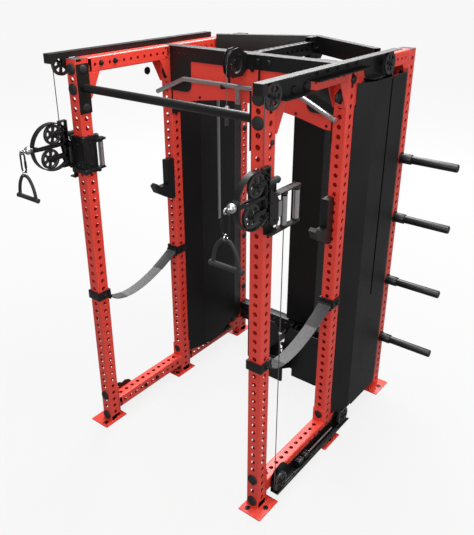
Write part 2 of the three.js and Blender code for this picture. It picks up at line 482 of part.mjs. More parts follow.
// ---- Safety straps with their wrap brackets, and J-cups ----
const STRAP = { x: POST_X, half: 38, thick: 5, frontZ: 905, rearZ: 985, sagZ: 842 };
function safetyStrap(side) {
  const x0 = side * (STRAP.x - STRAP.half);
  const x1 = side * (STRAP.x + STRAP.half);
  const top = [[TUBE + 12, STRAP.frontZ], [TUBE + 60, STRAP.frontZ - 38], [TUBE + 130, STRAP.sagZ + 4],
    [TUBE + 210, STRAP.sagZ], [TUBE + 310, STRAP.sagZ + 16], [TUBE + 420, STRAP.sagZ + 52],
    [TUBE + 520, STRAP.sagZ + 98], [BAY - 12, STRAP.rearZ]];
  const low = top.map(([y, z]) => [y, z - STRAP.thick]).reverse();
  const wrap = (row, z) => {
    const y = POST_FRONT[row];
    const over = 8;
    const behind = row === 'front' ? over : 0;
    return cut(box(side * (POST_IN - over), side * (POST_OUT + over), y - over, y + TUBE + behind, z - 26, z + 26),
      box(side * (POST_IN - GAP), side * (POST_OUT + GAP), y - GAP, y + TUBE + GAP, z - 27, z + 27));
  };
  const block = (y0, y1, z0, z1) => box(x0, x1, y0, y1, z0, z1);
  return join(plateYZ(top.concat(low).reverse(), x0, x1), wrap('front', 932), wrap('mid', 985),
    block(TUBE + 7, TUBE + 16, 860, 958), block(BAY - 16, BAY - 7, 930, 1011));
}
const J_CUP = { inner: 546, outer: 588, face: 624, low: 1357, seat: 1458, high: 1614 };
function jCup(side) {
  const back = BAY - GAP;
  const profile = [[back, J_CUP.low], [back, J_CUP.high], [J_CUP.face, J_CUP.high], [J_CUP.face, J_CUP.seat], [560, J_CUP.seat],
    [530, 1487], [508, 1474], [532, 1426], [650, J_CUP.low]];
  return plateYZ(profile, side * J_CUP.inner, side * J_CUP.outer);
}
for (const [label, side] of Object.entries(SIDES)) {
  add(`safety_strap_${label}`, safetyStrap(side), webbing);
  add(`j_cup_${label}`, jCup(side), black);
}

// ---- Trolleys on the front posts: a flanged sleeve, two arms with the cable anchor and a grip between
// them, and two bearing lugs for the swivel head ----
const BEARING = { top: 1965.5, bottom: 1730.5, thick: 8, r: 12, front: -24, back: -14 };
const SLEEVE = { wall: 6, flange: 14, flangeHigh: 16, clear: 1 };
const GRIP = { y: 206, r: 15, anchorR: 15, armLow: 1655, armHigh: 1812, armEnd: 226 };
function trolley(side) {
  const bore = { in: POST_IN - SLEEVE.clear, out: POST_OUT + SLEEVE.clear, front: -SLEEVE.clear, back: TUBE + SLEEVE.clear };
  const ringAt = (wall, z0, z1) => box(side * (bore.in - wall), side * (bore.out + wall), bore.front - wall,
    bore.back + wall, z0, z1);
  const sleeve = cut(join(ringAt(SLEEVE.wall, TROLLEY.bottom, TROLLEY.top),
    ringAt(SLEEVE.flange, TROLLEY.bottom, TROLLEY.bottom + SLEEVE.flangeHigh),
    ringAt(SLEEVE.flange, TROLLEY.top - SLEEVE.flangeHigh, TROLLEY.top)),
  box(side * bore.in, side * bore.out, bore.front, bore.back, TROLLEY.bottom - 1, TROLLEY.top + 1));
  const root = side * (bore.out + SLEEVE.wall - 1);
  const arm = (z0, z1, y1) => box(root, side * (CABLE_X + 16), BEARING.back, y1, z0, z1);
  const post = (y, r) => rod([side * CABLE_X, y, GRIP.armLow + 4], [side * CABLE_X, y, GRIP.armHigh + 4], r, 16);
  const lug = (z) => cut(join(
    box(side * (CABLE_X - BEARING.r), side * (CABLE_X + BEARING.r), SWIVEL_Y, BEARING.back, z, z + BEARING.thick),
    rod([side * CABLE_X, SWIVEL_Y, z], [side * CABLE_X, SWIVEL_Y, z + BEARING.thick], BEARING.r, 20),
  ), rod([side * CABLE_X, SWIVEL_Y, z - 1], [side * CABLE_X, SWIVEL_Y, z + BEARING.thick + 1], 5, 12));
  const riser = box(root, side * (CABLE_X + 16), BEARING.front, BEARING.back, BEARING.bottom - BEARING.thick,
    BEARING.top + BEARING.thick);
  const cheek = box(root, side * (bore.out + SLEEVE.wall + 4), BEARING.back - 1, 60, GRIP.armLow, TROLLEY.top - 4);
  const bush = box(side * (CABLE_X - 15), side * (CABLE_X + 15), BEARING.back - 1, 11, 1738, 1829);
  const knob = rod([side * CABLE_X, BEARING.back - 6, TROLLEY.top + 3], [side * CABLE_X, 62, TROLLEY.top + 3], 14, 14);
  return join(sleeve, arm(TROLLEY.top - 14, TROLLEY.top - 6, 40), arm(GRIP.armHigh, GRIP.armHigh + 22, GRIP.armEnd),
    arm(GRIP.armLow, GRIP.armLow + 10, GRIP.armEnd), post(GRIP.y, GRIP.r), post(ANCHOR_Y - 3, GRIP.anchorR),
    lug(BEARING.top), lug(BEARING.bottom - BEARING.thick), riser, cheek, bush, knob);
}
// The squeeze lever beside the cable anchor draws the lock pin out of the post.
function releaseLever(side) {
  return join(
    box(side * (CABLE_X - 12), side * (CABLE_X + 12), 44, 76, 1724, 1798),
    box(side * (CABLE_X - 4), side * (CABLE_X + 4), 50, 58, GRIP.armLow + 10 + GAP, GRIP.armHigh - GAP),
  );
}

// ---- Cable of each side: one closed-loop route from the ball stop to the anchor on the trolley ----
// The route is a flat line of points; the bevel gives the extruded strip an eight-sided section.
function cable(side) {
  const wrap = (c, r, from, to) => arcPoints(c.y, c.z, r, from, to, Math.max(3, Math.round(Math.abs(to - from) / 12)));
  const route = [
    [BALL.y + 48, BALL.z],
    ...wrap(HEAD_UPPER, lineRadius(HEAD_PULLEY), -90, 0),
    ...wrap(TOP_FRONT, lineRadius(PULLEY), 180, 90),
    ...wrap(TOP_REAR, lineRadius(PULLEY), 90, 0),
    ...wrap(STACK_WHEEL, HIDDEN_R, 0, -180),
    ...wrap(RETURN_WHEEL, HIDDEN_R, 0, 180),
    ...wrap(BOTTOM_REAR, lineRadius(PULLEY), 0, -90),
    ...wrap(BOTTOM_FRONT, lineRadius(PULLEY), -90, -180),
    [ANCHOR_Y, GRIP.armLow - 2],
  ];
  const core = CABLE_R * 0.42;
  const bevel = CABLE_R - core;
  const point = route.map(([y, z]) => new THREE.Vector2(y, z));
  const normalAt = (i) => {
    const before = point[Math.max(i - 1, 0)];
    const after = point[Math.min(i + 1, point.length - 1)];
    const along = after.clone().sub(before).normalize();
    return new THREE.Vector2(-along.y, along.x);
  };
  const edge = (offset) => point.map((p, i) => p.clone().addScaledVector(normalAt(i), offset));
  const shape = new THREE.Shape([...edge(core), ...edge(-core).reverse()]);
  const geometry = new THREE.ExtrudeGeometry(shape, { depth: 2 * core, bevelEnabled: true, bevelThickness: bevel,
    bevelSize: bevel, bevelSegments: 1 });
  geometry.rotateX(Math.PI / 2);
  geometry.rotateZ(Math.PI / 2);
  geometry.translate(side * CABLE_X - core, 0, 0);
  return solid(geometry);
}

// ---- Swivel heads: D-shaped guard band on a back bar, with arms out to the axles of two pulleys ----
const GUARD = { y: -119, z: 1848, r: 127, band: 6, half: 15, cheek: 4, back: -30, bar: 14, arm: 11, hubR: 16, mouthR: 9.5,
  spineLow: 1843, spineHigh: 1857 };
function head(side) {
  const x = side * CABLE_X;
  const across = (c, r, half, sides) => rod([x - half, c.y, c.z], [x + half, c.y, c.z], r, sides);
  const band = cut(across(GUARD, GUARD.r, GUARD.half, 44), across(GUARD, GUARD.r - GUARD.band, GUARD.half + 1, 44),
    box(x - GUARD.half - 1, x + GUARD.half + 1, GUARD.back, 60, 1700, 2000));
  const bar = box(x - GUARD.half, x + GUARD.half, GUARD.back - GUARD.bar, GUARD.back, BEARING.bottom + 1, 1938);
  const arms = [HEAD_UPPER, HEAD_LOWER].flatMap((c) => [-1, 1].map((way) => {
    const x0 = x + way * (GUARD.half - GUARD.cheek);
    const x1 = x + way * GUARD.half;
    return join(box(x0, x1, c.y, GUARD.back, c.z - GUARD.arm, c.z + GUARD.arm), rod([x0, c.y, c.z], [x1, c.y, c.z], GUARD.hubR, 18));
  }));
  const spine = [-1, 1].map((way) => box(x + way * (GUARD.half - GUARD.cheek), x + way * GUARD.half, -243, GUARD.back,
    GUARD.spineLow, GUARD.spineHigh));
  const boss = (z0, z1) => rod([x, SWIVEL_Y, z0], [x, SWIVEL_Y, z1], GUARD.half - 3, 18);
  const entry = rod([x, SWIVEL_Y, 1930], [x, SWIVEL_Y, BEARING.top], 5.5, 12);
  const mouth = rod([x, -260, BALL.z], [x, -190, BALL.z], GUARD.mouthR, 14);
  return join(cut(join(band, bar, boss(1948, BEARING.top - GAP), boss(BEARING.bottom + GAP, 1742)), entry, mouth), arms, spine,
    across(HEAD_UPPER, AXLE_R, GUARD.half, 10), across(HEAD_LOWER, AXLE_R, GUARD.half, 10));
}
// Ball stop on the cable's end, against the mouth of the head, with an eye for the clip.
const EYE = { r: 11, wire: 3.5 };
function cableStop(side) {
  const x = side * CABLE_X;
  return join(
    solid(new THREE.SphereGeometry(BALL.r, 14, 10).translate(x, BALL.y, BALL.z)),
    rod([x, BALL.y + 12, BALL.z], [x, BALL.y + 45, BALL.z], 8, 12),
    rod([x, BALL.y - 12, BALL.z], [x, HANDLE.y + EYE.r, BALL.z], 4, 8),
    solid(new THREE.TorusGeometry(EYE.r, EYE.wire, 8, 16).rotateY(Math.PI / 2).translate(x, HANDLE.y, BALL.z)),
  );
}
// Clip, ring and D-shaped handle in one hanging piece.
function handle(side) {
  const x = side * CABLE_X;
  const y = HANDLE.y;
  const half = HANDLE.gripLength / 2;
  const link = (z0, z1, r, wire) => {
    const round = (inset) => {
      const corner = (r - inset) * 0.6;
      return [[-r + inset, z0 + inset + corner], [-r + inset + corner, z0 + inset], [r - inset - corner, z0 + inset],
        [r - inset, z0 + inset + corner], [r - inset, z1 - inset - corner], [r - inset - corner, z1 - inset],
        [-r + inset + corner, z1 - inset], [-r + inset, z1 - inset - corner]].map(([u, v]) => [x + u, v]);
    };
    return cut(plateXZ(round(0), y - wire / 2, y + wire / 2), plateXZ(round(wire), y - wire, y + wire));
  };
  const bow = [[0, 1748], [30, 1742], [54, 1716], [68, 1680], [76, 1640], [76, HANDLE.gripZ]];
  const inner = [[58, HANDLE.gripZ], [58, 1643], [51, 1677], [39, 1703], [20, 1724], [0, 1728]];
  const strap = (way) => plateXZ((way === 1 ? bow.concat(inner) : bow.concat(inner).reverse())
    .map(([u, v]) => [x + way * (u - 1), v]), y - 9, y + 9);
  return join(
    link(1753, HANDLE.clipTop, 22, 7), link(1731, 1764, 13, 7), strap(-1), strap(1),
    rod([x - half, y, HANDLE.gripZ], [x + half, y, HANDLE.gripZ], 13, 16),
  );
}
for (const [label, side] of Object.entries(SIDES)) {
  add(`trolley_${label}`, trolley(side), black);
  add(`release_lever_${label}`, releaseLever(side), steel);
  add(`swivel_head_${label}`, head(side), black);
  addPulley(`head_upper_pulley_${label}`, HEAD_PULLEY, side * CABLE_X, HEAD_UPPER.y, HEAD_UPPER.z);
  addPulley(`head_lower_pulley_${label}`, HEAD_PULLEY, side * CABLE_X, HEAD_LOWER.y, HEAD_LOWER.z);
  add(`cable_${label}`, cable(side), zinc);
  add(`cable_stop_${label}`, cableStop(side), steel);
  add(`handle_${label}`, handle(side), rubber);
}

// ---- Origin: the middle of the base ----
const bounds = new THREE.Box3().setFromObject(rack);
rack.position.y = -(bounds.min.y + bounds.max.y) / 2;

export default rack;
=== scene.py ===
import json
import math

import bmesh
import bpy
from mathutils import Matrix, Vector


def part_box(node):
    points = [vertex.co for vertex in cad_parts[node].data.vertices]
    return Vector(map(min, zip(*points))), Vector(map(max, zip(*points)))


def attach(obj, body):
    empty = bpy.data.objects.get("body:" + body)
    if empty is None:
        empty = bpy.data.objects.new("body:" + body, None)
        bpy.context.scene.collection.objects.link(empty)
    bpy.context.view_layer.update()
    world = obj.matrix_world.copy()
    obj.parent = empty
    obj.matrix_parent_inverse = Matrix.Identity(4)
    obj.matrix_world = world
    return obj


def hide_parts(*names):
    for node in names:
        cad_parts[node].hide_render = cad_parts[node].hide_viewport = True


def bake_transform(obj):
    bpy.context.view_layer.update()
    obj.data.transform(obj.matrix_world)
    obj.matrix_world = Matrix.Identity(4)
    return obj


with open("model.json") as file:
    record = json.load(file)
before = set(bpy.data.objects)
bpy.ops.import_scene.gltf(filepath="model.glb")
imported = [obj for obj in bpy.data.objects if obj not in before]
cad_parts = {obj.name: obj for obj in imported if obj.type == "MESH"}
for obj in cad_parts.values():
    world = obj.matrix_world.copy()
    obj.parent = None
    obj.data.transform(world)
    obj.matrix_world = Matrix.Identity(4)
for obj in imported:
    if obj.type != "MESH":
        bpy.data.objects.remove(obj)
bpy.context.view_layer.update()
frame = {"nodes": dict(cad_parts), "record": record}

# ---------------------------------------------------------------------------
# Lengths below are in millimetres, with X and Z as in the model and Y measured
# from the front face of the front posts.
# ---------------------------------------------------------------------------
MM = 0.001
FOOT_FRONT = 57
ORIGIN_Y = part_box("post_front_left")[0][1] + FOOT_FRONT * MM

SIDES = {"right": 1, "left": -1}
TUBE = 76.2
WALL = 3.0
BAY = 685.8
POST_X = 584.2
POST_IN = POST_X - TUBE / 2
POST_OUT = POST_X + TUBE / 2
POST_Y = {"front": 0.0, "mid": BAY, "rear": 2 * BAY}
HEIGHT = 2286.0
CABLE_X = 655.0
CABLE_R = 2.4


def point(x, y, z):
    return Vector((x * MM, y * MM + ORIGIN_Y, z * MM))


# ---- Camera first ----
def make_camera():
    focal, yaw, pitch, roll = 636.83, -0.66515, 0.43659, -0.00193
    width, height = 474, 535
    centre = (232.07, 249.66)
    forward = Vector((math.sin(yaw) * math.cos(pitch), math.cos(yaw) * math.cos(pitch), -math.sin(pitch)))
    right = Vector((math.cos(yaw), -math.sin(yaw), 0))
    up = right.cross(forward)
    right, up = math.cos(roll) * right + math.sin(roll) * up, math.cos(roll) * up - math.sin(roll) * right
    camera = bpy.data.objects.new("camera", bpy.data.cameras.new("camera"))
    camera.data.sensor_width = 36
    camera.data.lens = focal * 36 / height
    camera.data.shift_x = (width / 2 - centre[0]) / height
    camera.data.shift_y = (centre[1] - height / 2) / height
    camera.data.clip_end = 100
    turn = Matrix((right, up, -forward)).transposed().to_4x4()
    camera.matrix_world = Matrix.Translation(point(2092.1, -2096.2, 2768.8)) @ turn
    bpy.context.collection.objects.link(camera)
    bpy.context.scene.camera = camera


make_camera()


# ---- Materials ----
class Shader:
    """A Principled material with helpers for the procedural nodes that feed it."""

    def __init__(self, name, roughness, metallic=0.0, **sockets):
        self.material = bpy.data.materials.new(name)
        self.material.use_nodes = True
        self.nodes = self.material.node_tree.nodes
        self.links = self.material.node_tree.links
        self.surface = self.nodes["Principled BSDF"]
        self.surface.inputs["Roughness"].default_value = roughness
        self.surface.inputs["Metallic"].default_value = metallic
        for key, value in sockets.items():
            self.surface.inputs[key.replace("_", " ")].default_value = value
        self.coords = self.nodes.new("ShaderNodeTexCoord").outputs["Object"]

    def node(self, kind, **inputs):
        made = self.nodes.new(kind)
        for key, value in inputs.items():
            made.inputs[key.replace("_", " ")].default_value = value
        return made

    def stretched(self, scale):
        mapping = self.node("ShaderNodeMapping")
        mapping.inputs["Scale"].default_value = scale
        self.links.new(self.coords, mapping.inputs["Vector"])
        return mapping.outputs["Vector"]

    def noise(self, scale, detail=3.0, vector=None):
        made = self.node("ShaderNodeTexNoise", Scale=scale, Detail=detail)
        self.links.new(vector or self.coords, made.inputs["Vector"])
        return made.outputs["Fac"]

    def ramp(self, factor, stops):
        made = self.nodes.new("ShaderNodeValToRGB")
        elements = made.color_ramp.elements
        while len(elements) < len(stops):
            elements.new(0.5)
        for element, (place, colour) in zip(elements, stops):
            element.position = place
            element.color = (*colour, 1) if len(colour) == 3 else colour
        self.links.new(factor, made.inputs["Fac"])
        return made.outputs["Color"]

    def colour(self, output):
        self.links.new(output, self.surface.inputs["Base Color"])

    def rough(self, factor, low, high):
        made = self.nodes.new("ShaderNodeMapRange")
        made.inputs["To Min"].default_value = low
        made.inputs["To Max"].default_value = high
        self.links.new(factor, made.inputs["Value"])
        self.links.new(made.outputs["Result"], self.surface.inputs["Roughness"])

    def bump(self, height, strength, distance):
        made = self.node("ShaderNodeBump", Strength=strength, Distance=distance)
        self.links.new(height, made.inputs["Height"])
        self.links.new(made.outputs["Normal"], self.surface.inputs["Normal"])


def powder_coat(name, dark, light, roughness, coat=0.0, grain=900, bump=0.12, gloss=0.5):
    """Powder coat: a fine orange peel, with slow patches of tone and of gloss."""
    shader = Shader(name, roughness, Coat_Weight=coat, Coat_Roughness=0.25, Specular_IOR_Level=gloss)
    patches = shader.noise(3.2, 4)
    shader.colour(shader.ramp(patches, [(0.3, dark), (0.7, light)]))
    shader.rough(shader.noise(38, 4), roughness - 0.06, roughness + 0.08)
    shader.bump(shader.noise(grain, 2), bump, 0.0004)
    return shader.material


def brushed(name, dark, light, roughness, stretch=(900, 900, 30), metallic=1.0):
    shader = Shader(name, roughness, metallic)
    lines = shader.noise(1, 3, shader.stretched(stretch))
    shader.colour(shader.ramp(lines, [(0.25, dark), (0.75, light)]))
    shader.rough(lines, roughness - 0.08, roughness + 0.12)
    shader.bump(lines, 0.08, 0.0002)
    return shader.material


def webbing(name, dark, light):
    """Woven webbing: fine ribs across the strap with a softer cross weave."""
    shader = Shader(name, 0.85, Sheen_Weight=0.3, Sheen_Roughness=0.5)
    ribs = shader.node("ShaderNodeTexWave", Scale=90, Distortion=0.4, Detail=1)
    ribs.bands_direction = "Y"
    shader.links.new(shader.coords, ribs.inputs["Vector"])
    cross = shader.node("ShaderNodeTexWave", Scale=160, Distortion=0.3, Detail=1)
    cross.bands_direction = "X"
    shader.links.new(shader.coords, cross.inputs["Vector"])
    mix = shader.nodes.new("ShaderNodeMath")
    mix.operation = "MULTIPLY"
    shader.links.new(ribs.outputs["Fac"], mix.inputs[0])
    shader.links.new(cross.outputs["Fac"], mix.inputs[1])
    shader.colour(shader.ramp(mix.outputs[0], [(0.0, dark), (0.8, light)]))
    shader.bump(mix.outputs[0], 0.5, 0.0006)
    return shader.material


def rubber(name, dark, light, grain=420, bump=0.35):
    shader = Shader(name, 0.72)
    cells = shader.node("ShaderNodeTexVoronoi", Scale=grain)
    shader.links.new(shader.coords, cells.inputs["Vector"])
    shader.colour(shader.ramp(shader.noise(12, 3), [(0.3, dark), (0.7, light)]))
    shader.bump(cells.outputs["Distance"], bump, 0.0005)
    return shader.material


def cast_iron(name, dark, light):
    shader = Shader(name, 0.6, 0.3)
    shader.colour(shader.ramp(shader.noise(24, 5), [(0.35, dark), (0.7, light)]))
    shader.bump(shader.noise(260, 4), 0.4, 0.0008)
    return shader.material


def stranded(name, dark, light):
    """Wire rope: slanted strands."""
    shader = Shader(name, 0.35, 0.9)
    wave = shader.node("ShaderNodeTexWave", Scale=260, Distortion=0)
    wave.bands_direction = "DIAGONAL"
    shader.links.new(shader.coords, wave.inputs["Vector"])
    shader.colour(shader.ramp(wave.outputs["Fac"], [(0.2, dark), (0.8, light)]))
    shader.bump(wave.outputs["Fac"], 0.3, 0.0004)
    return shader.material


RED = powder_coat("red_powder_coat", (0.70, 0.045, 0.028), (0.78, 0.056, 0.036), 0.36, coat=0.3)
BLACK = powder_coat("black_powder_coat", (0.004, 0.004, 0.0042), (0.008, 0.008, 0.0083), 0.36, bump=0.2, gloss=0.4)
SHEET = powder_coat("black_sheet_coat", (0.006, 0.006, 0.0063), (0.010, 0.010, 0.0104), 0.46, bump=0.2, gloss=0.25)
PULLEY = powder_coat("black_anodised", (0.012, 0.012, 0.013), (0.02, 0.02, 0.022), 0.34, coat=0.3, grain=1400,
                     bump=0.05)
BOLT = brushed("black_oxide", (0.012, 0.012, 0.013), (0.035, 0.035, 0.037), 0.38, metallic=0.7)
PLASTIC = rubber("black_plastic", (0.008, 0.008, 0.008), (0.015, 0.015, 0.015), 600, 0.1)
STEEL = brushed("brushed_steel", (0.42, 0.42, 0.43), (0.62, 0.62, 0.63), 0.34)
CHROME = brushed("polished_steel", (0.6, 0.6, 0.61), (0.78, 0.78, 0.79), 0.16)
CABLE = stranded("wire_rope", (0.1, 0.1, 0.105), (0.24, 0.24, 0.25))
WEBBING = webbing("grey_webbing", (0.075, 0.075, 0.078), (0.16, 0.16, 0.165))
SLEEVE = webbing("black_webbing", (0.02, 0.02, 0.021), (0.045, 0.045, 0.047))
RUBBER = rubber("black_rubber", (0.012, 0.012, 0.012), (0.02, 0.02, 0.02))
IRON = cast_iron("painted_iron", (0.02, 0.02, 0.021), (0.045, 0.045, 0.046))


# ---- Mesh building ----
class Part:
    """Collects faces in millimetres, then becomes one object, or its mirror image."""

    def __init__(self):
        self.verts = []
        self.faces = []
        self.smooth = []

    def add(self, verts, faces, smooth=False):
        start = len(self.verts)
        self.verts += [tuple(v) for v in verts]
        self.faces += [[start + i for i in face] for face in faces]
        self.smooth += [smooth] * len(faces)

    def take(self, bm, smooth=None):
        bm.normal_update()
        bm.verts.index_update()
        start = len(self.verts)
        self.verts += [tuple(v.co) for v in bm.verts]
        for face in bm.faces:
            self.faces.append([start + v.index for v in face.verts])
            self.smooth.append(face.smooth if smooth is None else smooth)
        bm.free()

    def box(self, x0, x1, y0, y1, z0, z1, edge=1.5):
        """A box with small chamfered edges."""
        bm = bmesh.new()
        bmesh.ops.create_cube(bm, size=1)
        size = Vector((abs(x1 - x0), abs(y1 - y0), abs(z1 - z0)))
        middle = Vector(((x0 + x1) / 2, (y0 + y1) / 2, (z0 + z1) / 2))
        for v in bm.verts:
            v.co = Vector(a * b for a, b in zip(v.co, size)) + middle
        edge = min(edge, 0.35 * min(size))
        if edge > 0.2:
            bmesh.ops.bevel(bm, geom=bm.edges[:], offset=edge, segments=2, profile=0.7, affect="EDGES")
        self.take(bm)

    def turned(self, profile, centre, axis, sides=24, smooth=True):
        """A profile of (radius, height along axis) turned about an axis through centre."""
        axis = Vector(axis).normalized()
        u = axis.orthogonal().normalized()
        v = axis.cross(u)
        centre = Vector(centre)
        rings = []
        verts = []
        for radius, height in profile:
            ring = []
            steps = 1 if radius < 1e-6 else sides
            for i in range(steps):
                a = 2 * math.pi * i / sides
                ring.append(len(verts))
                verts.append(centre + axis * height + (u * math.cos(a) + v * math.sin(a)) * radius)
            rings.append(ring)
        faces = []
        for low, high in zip(rings, rings[1:]):
            for i in range(sides):
                j = (i + 1) % sides
                quad = [low[i % len(low)], low[j % len(low)], high[j % len(high)], high[i % len(high)]]
                unique = list(dict.fromkeys(quad))
                if len(unique) > 2:
                    faces.append(unique)
        self.add(verts, faces, smooth)

    def rod(self, a, b, radius, sides=20, edge=1.0):
        """A round bar with chamfered ends."""
        a, b = Vector(a), Vector(b)
        length = (b - a).length
        edge = min(edge, radius * 0.4, length * 0.2)
        profile = [(0, 0), (radius - edge, 0), (radius, edge), (radius, length - edge), (radius - edge, length),
                   (0, length)]
        self.turned(profile, a, b - a, sides)

    def ball(self, centre, radius, sides=20, rings=12):
        profile = [(radius * math.sin(math.pi * i / rings), -radius * math.cos(math.pi * i / rings))
                   for i in range(rings + 1)]
        profile[0] = (0, -radius)
        profile[-1] = (0, radius)
        self.turned(profile, centre, (0, 0, 1), sides)

    def hex_bolt(self, centre, axis, across=19, washer=True):
        """A hexagon head on a washer, standing on a face at centre."""
        radius = across / 2 / math.cos(math.pi / 6)
        base = 0.0
        if washer:
            rim = across * 0.78
            self.turned([(0, 0), (rim, 0), (rim, 2.0), (across * 0.72, 2.6), (0, 2.6)], centre, axis)
            base = 2.4
        top = base + across * 0.42
        profile = [(0, base), (radius, base), (radius, top - 1.6), (radius * 0.86, top), (0, top)]
        self.turned(profile, centre, axis, 6, smooth=False)

    def dome_cap(self, centre, axis, radius=13, height=11):
        """A round plastic bolt cover."""
        profile = [(0, 0), (radius, 0), (radius, height * 0.3)]
        for i in range(1, 6):
            a = math.pi / 2 * i / 5
            profile.append((radius * math.cos(a), height * (0.3 + 0.7 * math.sin(a))))
        profile[-1] = (0, height)
        self.turned(profile, centre, axis, 20)

    def prism(self, outline, low, high, plane="YZ", edge=0.8):
        """A flat plate with this outline, its faces at low and high along the third axis."""
        bm = bmesh.new()
        place = {"YZ": lambda p, w: (w, p[0], p[1]), "XZ": lambda p, w: (p[0], w, p[1]),
                 "XY": lambda p, w: (p[0], p[1], w)}[plane]
        base = [bm.verts.new(place(p, low)) for p in outline]
        face = bm.faces.new(base)
        grown = bmesh.ops.extrude_face_region(bm, geom=[face])
        for v in [g for g in grown["geom"] if isinstance(g, bmesh.types.BMVert)]:
            v.co["XYZ".index({"YZ": "X", "XZ": "Y", "XY": "Z"}[plane])] = high
        bmesh.ops.recalc_face_normals(bm, faces=bm.faces[:])
        if edge:
            rim = [e for e in bm.edges if len(e.link_faces) == 2 and e.calc_face_angle(0) > 0.5]
            bmesh.ops.bevel(bm, geom=rim, offset=edge, segments=1, affect="EDGES", clamp_overlap=True)
        self.take(bm)

    def sweep(self, path, radius, sides=14, closed_ends=True, smooth=True):
        """A round tube along a path."""
        path = [Vector(p) for p in path]
        tangents = []
        for i, p in enumerate(path):
            before = path[max(i - 1, 0)]
            after = path[min(i + 1, len(path) - 1)]
            tangents.append((after - before).normalized())
        normal = tangents[0].orthogonal().normalized()
        verts = []
        for p, t in zip(path, tangents):
            normal = (normal - t * normal.dot(t)).normalized()
            side = t.cross(normal)
            for k in range(sides):
                a = 2 * math.pi * k / sides
                verts.append(p + (normal * math.cos(a) + side * math.sin(a)) * radius)
        faces = []
        for i in range(len(path) - 1):
            for k in range(sides):
                n = (k + 1) % sides
                faces.append([i * sides + k, i * sides + n, (i + 1) * sides + n, (i + 1) * sides + k])
        self.add(verts, faces, smooth)
        if closed_ends:
            last = (len(path) - 1) * sides
            self.add(verts[:sides], [list(range(sides))[::-1]])
            self.add(verts[last:], [list(range(sides))])

    def build(self, name, material, body, side=1, slot=None, replaces=()):
        """Makes the object. side=-1 gives the mirror image."""
        mesh = bpy.data.meshes.new(name)
        flip = side < 0
        verts = [point(x * side, y, z) for x, y, z in self.verts]
        faces = [face[::-1] if flip else face for face in self.faces]
        mesh.from_pydata(verts, [], faces)
        mesh.polygons.foreach_set("use_smooth", self.smooth)
        bm = bmesh.new()
        bm.from_mesh(mesh)
        bmesh.ops.remove_doubles(bm, verts=bm.verts[:], dist=2e-5)
        bmesh.ops.recalc_face_normals(bm, faces=bm.faces[:])
        bm.to_mesh(mesh)
        bm.free()
        mesh.materials.append(material)
        mesh.set_sharp_from_angle(angle=math.radians(35))
        made = bpy.data.objects.new(name, mesh)
        bpy.context.collection.objects.link(made)
        if body:
            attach(made, body)
        if replaces:
            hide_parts(*replaces)
        return made


def both_sides(*rows):
    """Builds pieces and their mirror images. A row is part, name, material, body, slot and any CAD node replaced."""
    for label, side in SIDES.items():
        for part, name, material, body, slot, *nodes in rows:
            rides = body if body == "frame" else f"{body}_{label}"
            part.build(f"{name}_{label}", material, rides, side, slot, [f"{node}_{label}" for node in nodes])


# ---- Perforated square tube ----
HOLE_R = 12.7
PITCH = 50.37
HOLE_SIDES = 16
CORNER_R = 6.0


def drilled_wall(part, start, along, across, inward, length, half, holes, pitch, hole_r, wall):
    """One wall of a tube: outer and inner faces with the same holes, and the holes' own walls.
    start is the middle of the wall's outer face at one end of the tube."""
    start, along, across, inward = (Vector(v) for v in (start, along, across, inward))

    def at(u, v, depth):
        return start + across * u + along * v + inward * depth

    ring = [math.radians(45 + 360 * k / HOLE_SIDES) for k in range(HOLE_SIDES)]

    def edge_of_cell(angle, half_u, half_v):
        c, s = math.cos(angle), math.sin(angle)
        if abs(abs(c) - abs(s)) < 1e-6:
            return half_u * (1 if c > 0 else -1), half_v * (1 if s > 0 else -1)
        if abs(c) > abs(s):
            return half_u * (1 if c > 0 else -1), half_v * s / abs(c)
        return half_u * c / abs(s), half_v * (1 if s > 0 else -1)

    for depth, half_u in ((0.0, half), (wall, half + CORNER_R - wall)):
        last = 0.0
        for hole in holes:
            low = hole - pitch / 2
            if low > last + 0.1:
                part.add([at(-half_u, last, depth), at(half_u, last, depth), at(half_u, low, depth),
                          at(-half_u, low, depth)], [[0, 1, 2, 3]])
            rim = [at(hole_r * math.cos(a), hole + hole_r * math.sin(a), depth) for a in ring]
            outer = []
            for a in ring:
                u, v = edge_of_cell(a, half_u, pitch / 2)
                outer.append(at(u, hole + v, depth))
            n = HOLE_SIDES
            part.add(rim + outer, [[i, (i + 1) % n, n + (i + 1) % n, n + i] for i in range(n)])
            last = hole + pitch / 2
        if length > last + 0.1:
            part.add([at(-half_u, last, depth), at(half_u, last, depth), at(half_u, length, depth),
                      at(-half_u, length, depth)], [[0, 1, 2, 3]])
    for hole in holes:
        n = HOLE_SIDES
        verts = [at(hole_r * math.cos(a), hole + hole_r * math.sin(a), d) for d in (0, wall) for a in ring]
        part.add(verts, [[i, (i + 1) % n, n + (i + 1) % n, n + i] for i in range(n)], smooth=True)


